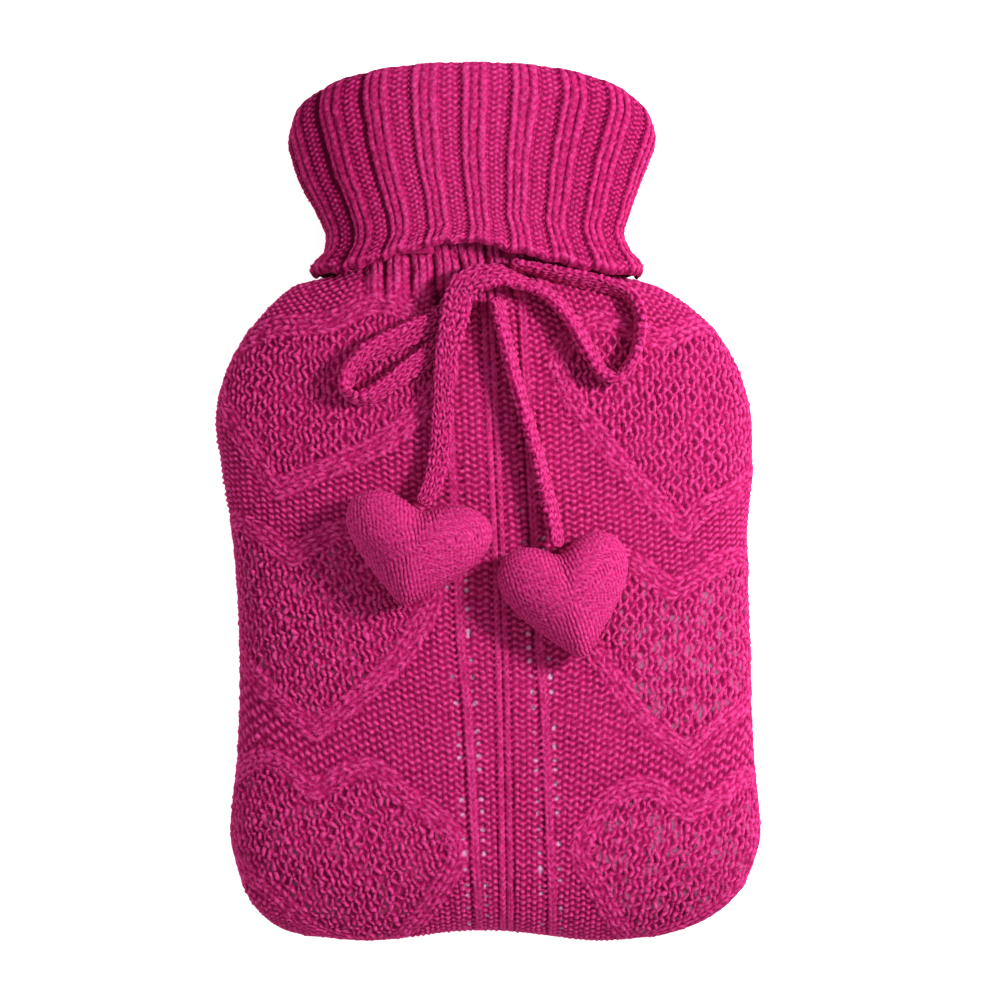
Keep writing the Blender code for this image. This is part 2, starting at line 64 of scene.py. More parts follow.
# The body's sections from the bottom seam to the neck: y, the left and right ends of the section at
# the side seam, the heights of the seam, the front's crown and the back, and how square it is.
BODY = named_table(
    "y left right seam crown back square",
    (-168.2, -71, 66, 19, 44, -1.5, 2.8),
    (-165.9, -78.9, 74.6, 19, 44.2, -1.5, 2.8),
    (-162, -85.1, 83.9, 19, 44.6, -1.5, 2.8),
    (-154.3, -92, 94, 19, 45.2, -1.5, 2.8),
    (-146.6, -95.5, 99.8, 19, 45.8, -1.5, 2.8),
    (-127, -99.2, 105.2, 19, 46.6, -1.5, 2.8),
    (-100, -96.8, 103, 19, 47.4, -1.5, 2.8),
    (-61.5, -95.9, 101.3, 19, 47.6, -1.5, 2.8),
    (-15.1, -98.6, 100.2, 19, 47.6, -1.5, 2.8),
    (15.9, -103.2, 102.1, 19, 47.3, -1.5, 2.8),
    (31.3, -105.2, 101.7, 19, 47, -1.5, 2.8),
    (46.8, -102.1, 98.2, 19, 46.5, -1.5, 2.7),
    (62.3, -94.7, 90.1, 19.2, 45.6, -1.2, 2.6),
    (70, -88.9, 83.5, 19.6, 45, -0.6, 2.5),
    (77.7, -81.6, 74.2, 20.6, 44.4, 1, 2.4),
    (83.1, -74.6, 65, 22, 44, 3.4, 2.3),
    (87.5, -58.6, 49.4, 24.4, 43.7, 6.6, 2.2),
    (92, -54, 44.8, 25.8, 43.5, 8.3, 2.2),
    (106, -53.6, 44.4, 26, 43.5, 8.5, 2.2),
)
NECK_SQUARE = 2.2
BACK_SQUARE = 3  # the back gains this many times the squareness that the front has over the neck's
END_ROUND = 40  # length over which the body closes to the bottom seam
END_SQUARE = 2.2
BOTTOM_WAVE = 2.2  # the bottom seam bows up in the middle and down towards the corners
BOTTOM_WAVE_WIDTH = 0.75
BOTTOM_WAVE_REACH = 45

# The middle of the collar's cloth from the hem, up the outer layer, over the fold and down the inner
# layer to the neck: y at the sides and at the middle of the front, the left and right ends, the
# heights of its underside and its front, and how much of its arch is the fold's broad one.
COLLAR = named_table(
    "y_side y_front left right under front broad",
    (86.8, 98.4, -68.1, 59.2, 1.5, 53.4, 0),
    (91, 101.5, -66.4, 57.8, 1.5, 52.6, 0),
    (96, 105.5, -62.3, 54, 1.5, 51.4, 0.1),
    (101.5, 110, -61.5, 51.6, 1.5, 51.2, 0.2),
    (109, 118, -64.4, 53.3, 1.5, 52.6, 0.5),
    (120.3, 132, -70.8, 57.3, 1.5, 55.6, 0.8),
    (131, 147, -74.6, 61.4, 1.5, 57.9, 1),
    (139.5, 160.5, -75.8, 63.4, 1.5, 58.5, 1),
    (145, 166.3, -74.4, 62, 3, 57.2, 1),
    (147, 168.4, -71.3, 58.9, 6, 54.4, 1),
    (145, 166.3, -68.2, 55.8, 8.8, 51.8, 1),
    (139, 160, -66.6, 54.2, 10, 50.2, 1),
    (127, 142, -61.5, 50, 10.2, 46.8, 0.8),
    (115, 120, -54.6, 44.6, 10, 43.6, 0.5),
    (106.3, 106.3, -52.1, 42.9, 10, 42, 0),
)
COLLAR_SQUARE = 2.25
HEM_PEAK = -10  # the hem is highest here, left of the middle
HEM_SPREAD = 38
UNDER_ARCH = 0.35  # share of the hem's arch that its underside has

# The tie's routes. lift is the height of the cord's underside above the front panel, lean the angle
# of its flat side to the panel in degrees, and wide its width there as a share of the cord's.
ROUTE = "x y lift wide lean"
TAIL_LEFT = named_table(
    ROUTE,
    (-10.2, 82.4, 7, 1, 0),
    (-11, 77.6, 6.9, 1.15, 0),
    (-12.4, 71.6, 6.6, 1.15, 2),
    (-14.4, 63.4, 6, 1.05, 4),
    (-16.2, 52, 5.2, 0.92, 5),
    (-17.2, 38, 3.8, 0.82, 4),
    (-17.8, 25, 3.2, 0.84, 2),
    (-19.2, 12.6, 4.2, 0.86, 0),
    (-22.2, 4, 6, 0.75, 0),
    (-25.4, -1.4, 7.2, 0.6, 0),
)
TAIL_RIGHT = named_table(
    ROUTE,
    (3.3, 77.6, 1.4, 0.8, 55),
    (4.6, 70, 0.9, 0.9, 66),
    (6.8, 61, 0.7, 1, 72),
    (10, 48, 0.6, 1, 74),
    (13.8, 34.7, 0.6, 1, 74),
    (18.3, 19.4, 0.6, 1, 72),
    (22, 4.2, 0.8, 1, 68),
    (24.8, -7.2, 2.6, 0.88, 60),
    (26.4, -17.6, 7, 0.6, 45),
)
LOOP_LEFT = named_table(
    ROUTE,
    (-12.8, 80.5, 1.4, 0.6, 10),
    (-14.2, 76.6, 0.9, 0.65, 8),
    (-16.6, 72.4, 0.8, 0.75, 8),
    (-21, 68.2, 0.8, 0.9, 10),
    (-27, 65.4, 0.8, 1, 14),
    (-34.6, 62, 0.8, 1, 20),
    (-42, 58.4, 0.8, 1, 28),
    (-48.6, 54, 0.7, 0.95, 42),
    (-53.2, 48.8, 0.7, 0.9, 60),
    (-54.6, 43.4, 0.7, 0.9, 80),
    (-51.6, 39.6, 0.7, 0.9, 100),
    (-45.8, 40, 0.7, 0.9, 122),
    (-38.8, 44.2, 0.7, 0.85, 140),
    (-31.4, 49.6, 0.6, 0.85, 155),
    (-24, 54.8, 0.6, 0.85, 166),
    (-18.4, 59.4, 0.6, 0.8, 175),
    (-14, 64.2, 0.6, 0.7, 180),
    (-11, 68.8, 0.6, 0.65, 180),
    (-9.4, 72.6, 0.6, 0.6, 180),
)
LOOP_RIGHT = named_table(
    ROUTE,
    (7.8, 84.2, 0.9, 0.8, 62),
    (13, 83.2, 0.8, 0.9, 66),
    (19.9, 80.6, 0.7, 0.95, 70),
    (26.2, 76, 0.6, 1, 70),
    (31.8, 69, 0.6, 1, 70),
    (35.8, 61.6, 0.6, 1, 70),
    (40.2, 54.2, 0.6, 1, 72),
    (44.8, 48.4, 0.6, 1, 76),
    (49.6, 47.4, 0.6, 1, 82),
    (53.8, 51.6, 0.6, 1, 86),
    (56.8, 58, 0.6, 1, 84),
    (58.2, 66, 0.6, 1, 80),
    (57.4, 73.6, 0.7, 0.95, 76),
    (53.6, 79.2, 0.8, 0.85, 68),
    (46.6, 82.2, 0.8, 0.8, 54),
    (37.4, 84.6, 0.8, 0.8, 48),
    (26.8, 86.9, 0.8, 0.8, 58),
    (16, 89.2, 0.8, 0.75, 68),
    (8.6, 90.6, 0.9, 0.7, 72),
)
CORD_CORNERS = 0.7  # exponent of the cord's rounded section: 1 is an ellipse, less is squarer

# The knot, which only this model has as a fold of the cord, from the left tail to the right loop.
KNOT = named_table(
    ROUTE,
    (-11.4, 78.6, 7.2, 1, 0),
    (-9.6, 81.6, 6.6, 1.1, 8),
    (-6, 84, 5.2, 1.15, 20),
    (-1.2, 85.4, 3.4, 1.15, 34),
    (4, 86.2, 1.8, 1.1, 48),
    (9, 85.2, 0.9, 0.95, 60),
    (13.4, 83.1, 0.7, 0.8, 66),
)

# The stuffed hearts: middle of the outline, width and height, turn in the plan and slope across the
# cover, both in degrees, and the turn of their columns of stitches.
HEARTS = named_table(
    "name x y wide high turn slope stitches",
    ("heart_left", -27.9, -19.2, 55.8, 40.4, -10.8, 3, 8),
    ("heart_right", 30.9, -37.1, 49.6, 45, 12.8, -3, 20),
)

# ---- the photograph's view ----
VIEW_CENTRE = (4.83, 0.2)
VIEW_WIDTH = 387.1  # of the plane at VIEW_HEIGHT
VIEW_HEIGHT = 22
VIEW_DISTANCE = 2000
SENSOR = 36

# ---- stitches ----
COURSE = 2.63  # height of one row of stitches
WALE = 5.3  # width of one column of purl stitches, two bumps wide
JITTER = 0.1  # how far stitches stray from their rows and columns, in stitches
SEAM_FADE = 9  # the stitches fade out over this length at the side seams
SOFT_EDGE = 0.8  # half the length over which one kind of stitch gives way to another
LARGE_SHARE = 0.35  # how much larger forms add painted shade and light to the yarn, beside the stitches
GROOVE_DEPTH = 0.35  # of all the fine grooves beside ribs and cords
KNIT_RISE = 0.6  # height of plain knit stitches
KNIT_MEAN = 0.4  # mean height of knit stitches, taken off where they mustn't thicken a piece
FIRM_BEAD = 0.8  # how deeply the stitches of the cables and of the centre's cords and ribs are beaded
BEAD_ROUND = 0.7  # exponent of a stitch's height along it

# Bumps of purl: their breadth (soft) and the swing of their rows (wave) in courses, and the height of
# the yarn between two of them (link) as a share of theirs.
PURL = SimpleNamespace(rise=1.1, soft=0.27, wave=0.25, link=0.04, round=0.9)
# Knit stretched in a rib: the steepness of its V (lean), and the line between two columns (gap).
STRETCHED = SimpleNamespace(bead=0.5, lean=1.4, gap=0.22, gap_wide=0.12)
# Slanting stitches inside the pattern's hearts. Slant and half width are in columns. Every other
# column is shifted up by the stagger, and each by up to the stray, in stitches.
STROKE = SimpleNamespace(wale=2.3, step=3, rise=0.95, slant=0.27, half=0.33, bead=0.9,
                         stagger=0.5, stray=0.3, uneven=0.25, seed=15)
# Cables: two columns of long stitches, of height knit, on a swell of height rise.
CABLE = SimpleNamespace(half=4.3, rise=0.3, wale=4.3, step=3.6, knit=0.85, sway=0.3)
# The pale ground shows where slanting stitches are lower than the level and its lumps are high. A
# heart of the pattern is worked up to its margin outside its cable's line.
GROUND = SimpleNamespace(level=0.25, patches=(0.25, 0.6), margin=9)

# Lumps that make the knitting uneven. Each kind is the sum of its rows: strength, size and seed. The
# tie's seeds are counted from the length of its piece's name.
LUMPS = {
    "front_stray": [(1, 7, 5), (1, 2.7, 6)],
    "front_strength": [(0.3, 3, 8), (0.4, 1.5, 9)],
    "front_swell": [(0.5, 17, 3)],
    "motif_stray": [(2.5, 4.5, 11), (2.5, 2, 16)],
    "motif_sway": [(2.5, 5.5, 12), (2.5, 2.3, 17)],
    "motif_ground": [(1, 2.3, 14)],
    "cable_strength": [(0.3, 2.2, 18)],
    "centre_stray": [(0.15, 4, 31)],
    "eyelet_stray": [(0.4, 7, 34)],
    "eyelet_open": [(1, 3.4, 33)],
    "neck_sway": [(1, 9, 35)],
    "collar_stray": [(1, 6, 21), (1, 2.4, 22)],
    "collar_strength": [(0.3, 1.6, 23)],
    "hem_line": [(1, 3.4, 24)],
    "hem_roll": [(0.3, 2.6, 25)],
    "tie_stray": [(0.3, 3, 0)],
    "tie_sway": [(0.22, 2, 2)],
    "tie_strength": [(0.5, 1.6, 1)],
    "heart_stray": [(1, 5, 41), (1, 2, 42)],
}
LATTICE = 64  # rows and columns of random numbers behind the lumps

# ---- grids of points ----
FRONT_ROWS = 640
FRONT_COLUMNS = 384
FRONT_STRIPS = 4
FRONT_REACH = (8, 6)  # rows and columns of neighbours that a point's depth is compared with
BACK_ROWS = 290
BACK_COLUMNS = 160
BACK_STRIPS = 2
BACK_REACH = (5, 4)
COLLAR_COLUMNS = 432
COLLAR_ROWS = 222
COLLAR_FACE_ROWS = 182  # rows of points up the outer layer, the rest go down the inner one
COLLAR_TOP = (10, COLLAR_COLUMNS // 2)  # a place of its grid that faces up
COLLAR_REACH = (8, 8)
SECTION_POINTS = 1601  # points of a section of the body, before they are spaced out,
RING_POINTS = 1440  # and of a ring of the collar
TABLE_ROWS = 700
TABLE_COLUMNS = 481
HIDDEN_STEP = 8  # the hidden side of a cloth has a point for this many of its face
OUTLINE_STEPS = 10  # points between two places of a cable's line

# ---- front ----
# The line down the middle of the front, where its two halves meet.
CENTRE_LINE = named_table("y x", (-168.2, 7.4), (-96, 6.2), (-38, 4.8), (19.7, 2.3), (77.7, -0.4), (106, -2))

# How far the rows of stitches bow up at 100 mm from the centre line, by the height of the row there.
BOWS = named_table("y bow", (-168.2, 0), (-150, -8), (-128, 4), (-80, 27), (0, 20), (60, 10), (106, 0))

# How closely the columns of stitches are drawn together, by height.
DRAWN = named_table("y draw", (-168.2, 1.3), (-100, 1.13), (-40, 1), (50, 1), (78, 1.2), (106, 1.7))

# The two ribs beside the centre line: where the groove left of each lies from the centre line.
RIBS = named_table(
    "y left right",
    (-168.2, -12.6, 15.6),
    (-125, -14.2, 14.6),
    (-80, -16, 13.5),
    (-50, -18, 12),
    (106, -19, 11),
)
# Their raised columns, with the middle measured from the groove.
FRONT_RIB = SimpleNamespace(middle=2.2, half=1.75, lift=0.15, edge=(2.05, 1.45), groove_wide=0.7)
# The two lines of holes beside each, measured from its groove. Some holes stay closed, by their lumps
# (open), and they look pale by their depth below pale_top.
EYELET = SimpleNamespace(places=(-1.9, 5.5), half=(0.8, 0.85), depth=0.6, courses=2, open=(-0.6, 0.3),
                         top=30, top_fade=12, pale_top=-20, pale_fade=25, pale=(2.4, 0.45))
# The two knitted cords at the centre line, with the gap between them and a groove beside each.
CENTRE = SimpleNamespace(wale=2.5, start=0.2, half=2.7, lift=0.2, edge=(3, 2.4), gap=1, gap_wide=0.5,
                         groove=2.9)
# Ribs where the neck is gathered under the hem. They begin over start, along y, and fade out over half,
# away from their middle.
NECK = SimpleNamespace(middle=-12, start=(74, 84), half=(42, 30), rib=9.5, rise=1.5, rib_at=0.4,
                       rib_half=0.42, sink=0.6, wale=3.2, sway=0.25, wale_sway=0.2)
# A narrow hollow left of the bow, with painted shade (shade) darkening the yarn in it.
HOLLOW = SimpleNamespace(place=(-18.2, 76.5), depth=2.2, half=(3.2, 6.4), shade=0.45)

# The six hearts of the pattern, each as the middle line of its cable: places from the tip up one arm
# and over its lobe to the notch, then down the other lobe and arm, as distance from the centre line
# and y; the lean of the stitches inside it, in degrees, and how much of a pale ground shows between them.
MOTIFS = named_table(
    "tip outer notch inner lean ground",
    ((-84, 4), ((-104, 34), (-112, 48), (-86, 66)), (-62, 68),
     ((-40, 76), (-16, 50), (-31, 31)), 0, 0),
    ((-72, -88), ((-100, -65), (-122, -30), (-104, -8)), (-79.5, -21),
     ((-59, -11), (-26, -34), (-37, -57)), 8, 0.1),
    ((-47.5, -170), ((-76, -163), (-92, -149), (-108, -139.6), (-117, -118), (-92, -98.6)),
     (-73, -110.6), ((-51, -102), (-38.6, -112), (-26, -121), (-18, -133), (-26, -150)), 17, 0.1),
    ((71, -11.6), ((75, -7), (105, 12), (112, 38), (90, 68)), (66, 62),
     ((38, 68), (26, 52), (28.6, 43), (41, 23.6)), 0, 0),
    ((71, -96.7), ((83, -87), (101, -75), (116, -45), (98, -22)), (66, -34),
     ((47, -22), (33, -50), (44, -70), (56, -86)), 0, 0.3),
    ((50, -168), ((84, -156), (116, -125), (95, -106), (82, -114)), (70.6, -119),
     ((52, -109), (42, -112.5), (33, -123), (28.5, -132), (36, -150)), -12, 0.25),
)

# ---- collar ----
COLLAR_RIBS = 18
COLLAR_ROUND = 330  # length round its fold
COLLAR_FOLD = 9  # number of the table's section at the fold
COLLAR_EVEN = 0.7  # 1 spaces the columns of points evenly, less draws them together in front
LEFT_SIDE = (-25, -62)  # x over which the left side begins, where the ribs fold deeply, and the right one, where painted shade makes the yarn this much darker
RIGHT_SIDE = (5, 45)  # and the right one,
RIGHT_SHADE = 0.16  # where the yarn is this much darker
CREASE = 0.6  # the stitches are flattened by this share along the fold
CREASE_REACH = 7
# The fold lies lower than the part's own, and more so at the sides. Groove and wide are those of the
# deep folds at the left side, and shade is the painted shade that darkens the yarn there.
FOLD = SimpleNamespace(lower=2, lower_reach=22, lower_side=1, groove=1.2, wide=0.13, shade=0.24)
# The collar's ribs. The first groove left of the middle of the front is given in ribs. Shares of a rib:
# raised part, its rise from the groove (foot), its fall about its end, and the groove (line).
# light is painted light on the recessed bumps between the raised parts.
RIB = SimpleNamespace(groove=0.213, raised=0.56, foot=0.06, fall=(0.05, 0.03), line=0.045, stray=0.15,
                      rise=0.22, sink=0.9, light=0.13, wales=3, knit=0.75, purl=0.8, course=2.1, bumps=2)
# The hem is rounded off over its lip. Its cast-off edge stands out (roll), and its line is ragged.
HEM = SimpleNamespace(lip=2.4, roll=0.9, roll_wide=1.3, roll_least=0.7, ragged=1.1, ragged_reach=5)

# ---- tie and hearts ----
# The tie's lumps are read at the length along it, with the skew added for each column of stitches,
# and across it so far apart for each. Its ends are rounded off over the end, less the tip.
TIE = SimpleNamespace(round=48, step=0.52, stitch=3, columns=3, contrast=1.1, rise=1.1, bead=0.9,
                      skew=9, stray_apart=5, sway_apart=3, strength_apart=4, end=2.4, tip=0.3,
                      reach=(4, 4))
# The tie round the neck: its mouth, in degrees, is open on each side of the knot, and it is drawn in
# to a share of its width.
BAND = SimpleNamespace(y=98.6, lift=1, mouth=16, share=0.85, round=16, steps=180, knit=0.3)
# The stuffed hearts swell forward and back of their rim, and lie a lift above the front. The outline
# is blunt by the share of a plain sine in its width, the rest is cubed. The stitches are spaced by
# the radius over the swell, and fade out at the rim.
HEART = SimpleNamespace(front=12.5, back=7.5, lift=1.4, harmonics=(13, -4.2, -1.2, -0.4), blunt=0.42,
                        radius=25, grid=101, wale=3.1, rise=0.95, bead=0.45, lean=0.6, row_stray=2,
                        rim=(1, 0.94), reach=(5, 5))
HEART_TOP = (HEART.grid // 2, HEART.grid // 2)  # the middle of its grid, which faces up

# ---- colours, linear ----
# The deep colour is painted shade between the stitches, and the lit one painted light on their tops.
DEEP_SHADE = (0.120, 0.0005, 0.028, 1)
YARN = (0.430, 0.010, 0.110, 1)
LIT = (0.640, 0.045, 0.230, 1)
HEATHER = (0.680, 0.110, 0.330, 1)
PALE = (0.640, 0.300, 0.520, 1)
FLOOR = (0.95, 0.95, 0.95, 1)
DEEP_SHADE_AT = 0.15  # places of the painted deep shade and the painted lit colour on the scale of depth
LIT_AT = 0.9
DEPTH_GAIN = 0.85
PAINTED_LIGHT_SHIFTS = {  # painted light: how much lighter each knitting of the one yarn is painted than its depth alone makes it
    "patterned_knit": 0.06,
    "plain_knit": 0,
    "rib_knit": 0,
    "cord_knit": 0.05,
    "heart_knit": 0.13,
}

# ---- light, in metres and watts ----
KEY = SimpleNamespace(place=(0.62, 0.22, 0.60), target=(0, 0, 0.02), size=0.14, power=8.6)
SKY = (1, 1, 1, 1)
SKY_STRENGTH = 0.54
FLOOR_HALF = 3
FLOOR_GLOW = 0.8


# ---- curves and numbers ----

def curve_through(xs, ys, tangents, at):
    """A curve through points with a tangent given at each."""
    i = np.clip(np.searchsorted(xs, at, side="right") - 1, 0, len(xs) - 2)
    step = xs[i + 1] - xs[i]
    t = (at - xs[i]) / step
    blend = t * t * (3 - 2 * t)
    start = t * (1 - t) ** 2 * step
    end = t * t * (1 - t) * step
    return ys[i] * (1 - blend) + ys[i + 1] * blend + tangents[i] * start - tangents[i + 1] * end


def smooth(rows, column, at):
    """A smooth curve through one column of a table, which never swings past its rows."""
    xs = np.array([row[0] for row in rows])
    ys = np.array([getattr(row, column) for row in rows])
    slope = np.diff(ys) / np.diff(xs)
    tangents = np.zeros(len(xs))
    same_way = slope[:-1] * slope[1:] > 0
    before = np.where(same_way, slope[:-1], 1)
    after = np.where(same_way, slope[1:], 1)
    tangents[1:-1] = np.where(same_way, 2 / (1 / before + 1 / after), 0)
    tangents[0], tangents[-1] = slope[0], slope[-1]
    return curve_through(xs, ys, tangents, at)


def rounded(xs, ys, at):
    """A rounded curve through points, its tangents set by the neighbouring ones."""
    return curve_through(xs, ys, np.gradient(ys, xs), at)


def power(value, exponent):
    """A signed power, for rounded-square sections."""
    return np.sign(value) * np.abs(value) ** exponent


def step_up(low, high, value):
    """0 below low, 1 above high and a smooth rise between."""
    t = np.clip((value - low) / (high - low), 0, 1)
    return t * t * (3 - 2 * t)


def part_of(value):
    """The part of a number past its whole."""
    return value - np.floor(value)


def hump(value, half):
    """1 at zero, falling roundly to 0 at half on each side."""
    return np.sqrt(np.clip(1 - (value / half) ** 2, 0, None))


def bell(value, width):
    """1 at zero, falling softly to about a third at the width on each side."""
    return np.exp(-(value / width) ** 2)


def turned(x, y, degrees):
    """A place turned about the origin."""
    turn = math.radians(degrees)
    return x * math.cos(turn) - y * math.sin(turn), x * math.sin(turn) + y * math.cos(turn)


def unit(vectors):
    """Vectors of length 1."""
    return vectors / np.maximum(np.linalg.norm(vectors, axis=-1, keepdims=True), 1e-9)


def arc_length(points):
    """Length along a line of points up to each of them."""
    return np.concatenate([[0], np.cumsum(np.linalg.norm(np.diff(points, axis=0), axis=-1))])


def places_along(line, run, at):
    """Places at some lengths along a line, from the length up to each of its points."""
    return np.stack([np.interp(at, run, line[:, k]) for k in range(line.shape[1])], axis=-1)


def uneven(across, along, size, seed):
    """Soft lumps of about the given size, from -1 to 1."""
    lattice = np.random.default_rng(seed).uniform(-1, 1, (LATTICE, LATTICE))
    a, b = across / size + 20, along / size + 20
    i, j = np.floor(a).astype(int), np.floor(b).astype(int)
    p, q = step_up(0, 1, a - i), step_up(0, 1, b - j)
    i, j, n, m = i % LATTICE, j % LATTICE, (i + 1) % LATTICE, (j + 1) % LATTICE
    return ((lattice[i, j] * (1 - p) + lattice[n, j] * p) * (1 - q)
            + (lattice[i, m] * (1 - p) + lattice[n, m] * p) * q)


def lumps(kind, across, along, about=0, own_seed=0):
    """The lumps of one kind, about a mean."""
    return sum((strength * uneven(across, along, size, seed + own_seed)
                for strength, size, seed in LUMPS[kind]), about)


def grid_normals(grid, wrap=False):
    """Normals of a grid of points, rows by columns."""
    along = np.gradient(grid, axis=0)
    across = np.roll(grid, -1, axis=1) - np.roll(grid, 1, axis=1) if wrap else np.gradient(grid, axis=1)
    return unit(np.cross(across, along))


def outward_normals(face, back, wrap=False):
    """Normals of a cloth's face that point away from its hidden side."""
    normals = grid_normals(face, wrap)
    return normals if np.sum(normals * (face - back)) > 0 else -normals


def facing_up(normals, place):
    """The normals, all turned over if the one at a place of the grid faces down."""
    return normals if normals[place][2] > 0 else -normals


def blurred(values, reach, wrap=False):
    """Mean of the values up to reach rows and columns away."""
    rows, columns = reach
    padded = np.pad(values, ((rows, rows), (0, 0)), mode="edge")
    padded = np.pad(padded, ((0, 0), (columns, columns)), mode="wrap" if wrap else "edge")
    total = np.pad(padded.cumsum(0).cumsum(1), ((1, 0), (1, 0)))
    high, wide = 2 * rows + 1, 2 * columns + 1
    window = total[high:, wide:] - total[:-high, wide:] - total[high:, :-wide] + total[:-high, :-wide]
    return window / (high * wide)


# ---- meshes ----

class Form:
    """Points and faces of a mesh, gathered piece by piece."""

    def __init__(self):
        self.points, self.depths, self.pales, self.normals = [], [], [], []
        self.corners, self.places, self.sizes = [], [], []

    def add(self, points, depth=0, pale=0, normals=None):
        """Adds points and gives back their numbers, in the same layout."""
        shape = points.shape[:-1]
        if normals is not None:
            self.normals.append(normals.reshape(-1, 3))
        count = sum(len(points) for points in self.points)
        numbers = count + np.arange(math.prod(shape)).reshape(shape)
        self.points.append(points.reshape(-1, 3))
        self.depths.append(np.broadcast_to(depth, shape).ravel())
        self.pales.append(np.broadcast_to(pale, shape).ravel())
        return numbers

    def quads(self, numbers, wrap=False, turned=False, patch=(0, 0, 1, 0.96)):
        """Faces between the rows and columns of a grid of points, with a patch of the texture map."""
        if wrap:
            numbers = np.column_stack([numbers, numbers[:, :1]])
        rows, columns = numbers.shape
        u, v = np.meshgrid(np.linspace(patch[0], patch[2], columns), np.linspace(patch[1], patch[3], rows))
        place = np.stack([u, v], axis=-1)
        order = [(0, 0), (0, 1), (1, 1), (1, 0)]
        if turned:
            order.reverse()
        ends = (slice(0, -1), slice(1, None))
        self.corners.append(np.stack([numbers[ends[i], ends[j]] for i, j in order], -1).ravel())
        self.places.append(np.stack([place[ends[i], ends[j]] for i, j in order], -2).reshape(-1, 2))
        self.sizes.append(np.full((rows - 1) * (columns - 1), 4))

    def face(self, numbers, place=(0.75, 0.98)):
        """One face of any number of corners, at one place of the texture map."""
        self.corners.append(np.array(numbers))
        self.places.append(np.tile(place, (len(numbers), 1)))
        self.sizes.append(np.array([len(numbers)]))

    def make(self, name, slot):
        """The finished object, riding on the cover."""
        points = np.concatenate(self.points) * MM
        corners, sizes = np.concatenate(self.corners), np.concatenate(self.sizes)
        mesh = bpy.data.meshes.new(name)
        mesh.vertices.add(len(points))
        mesh.vertices.foreach_set("co", points.astype(np.float32).ravel())
        mesh.loops.add(len(corners))
        mesh.loops.foreach_set("vertex_index", corners.astype(np.int32))
        mesh.polygons.add(len(sizes))
        starts = np.concatenate([[0], np.cumsum(sizes)[:-1]])
        mesh.polygons.foreach_set("loop_start", starts.astype(np.int32))
        mesh.update(calc_edges=True)
        layer = mesh.uv_layers.new(name="OFBake")
        layer.data.foreach_set("uv", np.concatenate(self.places).astype(np.float32).ravel())
        for label, values in (("depth", self.depths), ("pale", self.pales)):
            attribute = mesh.attributes.new(label, "FLOAT", "POINT")
            attribute.data.foreach_set("value", np.concatenate(values).astype(np.float32))
        mesh.shade_smooth()
        if self.normals:
            mesh.normals_split_custom_set_from_vertices(np.concatenate(self.normals).tolist())
        obj = bpy.data.objects.new(name, mesh)
        bpy.context.scene.collection.objects.link(obj)
        mesh.materials.append(MATERIALS[slot])
        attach(obj, "root")
        return obj


def cloth_piece(name, face, back, normals, depth, pale, slot, wrap=False):
    """A closed piece of cloth: a finely shaped face and a coarse hidden side, joined at the edges."""
    form = Form()
    rows, columns = face.shape[:2]
    row_steps = sorted({*range(0, rows, HIDDEN_STEP), rows - 1})
    column_steps = [*range(0, columns, HIDDEN_STEP)]
    if not wrap:
        column_steps = sorted({*column_steps, columns - 1})
    hidden = np.ix_(row_steps, column_steps)
    turned = np.sum(grid_normals(face, wrap) * normals) < 0
    over = form.add(face, depth, pale, normals)
    under = form.add(back[hidden], normals=-normals[hidden])
    form.quads(over, wrap, turned)
    form.quads(under, wrap, not turned, patch=(0, 0.965, 0.5, 1))
    if wrap:
        over, under = (np.column_stack([n, n[:, :1]]) for n in (over, under))
        column_steps = [*column_steps, columns]
    edges = [(over[0], under[0], column_steps, not turned), (over[-1], under[-1], column_steps, turned)]
    if not wrap:
        edges += [(over[:, 0], under[:, 0], row_steps, turned),
                  (over[:, -1], under[:, -1], row_steps, not turned)]
    for fine, coarse, steps, forward in edges:
        for k, (start, end) in enumerate(zip(steps, steps[1:])):
            ring = [*fine[start:end + 1], coarse[k + 1], coarse[k]]
            form.face(ring[::-1] if forward else ring)
    return form.make(name, slot)


# ---- the body's form ----

def end_swell(y):
    """0 at the bottom seam, rising roundly to 1 where the body is full."""
    left = np.clip(1 - (y - BODY[0].y) / END_ROUND, 0, 1)
    return (1 - left ** END_SQUARE) ** (1 / END_SQUARE)


def body_section(y):
    """The body's section at y, read from its table."""
    return BODY[0]._make(smooth(BODY, column, y) for column in BODY[0]._fields)


def body_surface(y, angle, side):
    """Outer face of the front (side 1) or the back (side -1), from the left seam at pi to the right."""
    row = body_section(y)
    back_square = NECK_SQUARE + (row.square - NECK_SQUARE) * BACK_SQUARE
    edge, square = (row.crown, row.square) if side > 0 else (row.back, back_square)
    across = power(np.cos(angle), 2 / square)
    rise = np.abs(np.sin(angle)) ** (2 / square)
    x = (row.left + row.right) / 2 + (row.right - row.left) / 2 * across
    z = row.seam + (edge - row.seam) * rise * end_swell(y)
    near_end = np.clip(1 - (y - BODY[0].y) / BOTTOM_WAVE_REACH, 0, 1) ** 2
    wave = BOTTOM_WAVE * np.cos(math.pi * across / BOTTOM_WAVE_WIDTH) * (1 - np.abs(across) ** 4)
    return np.stack([x, y + wave * near_end + 0 * x, np.maximum(z, 0)], axis=-1)


def front_height(x, y):
    """Height of the front panel's outer face over a point of the plan."""
    row = body_section(y)
    across = np.clip(np.abs((2 * x - row.left - row.right) / (row.right - row.left)), 0, 1)
    rise = (1 - across ** row.square) ** (1 / row.square)
    return row.seam + (row.crown - row.seam) * rise * end_swell(y)


# One half of the body as a table of points. Its rows are evenly spaced along the middle, and its
# columns evenly from the left seam (-1) to the centre line (0) and on to the right seam (1).
Half = namedtuple("Half", "points length left right rows_y")


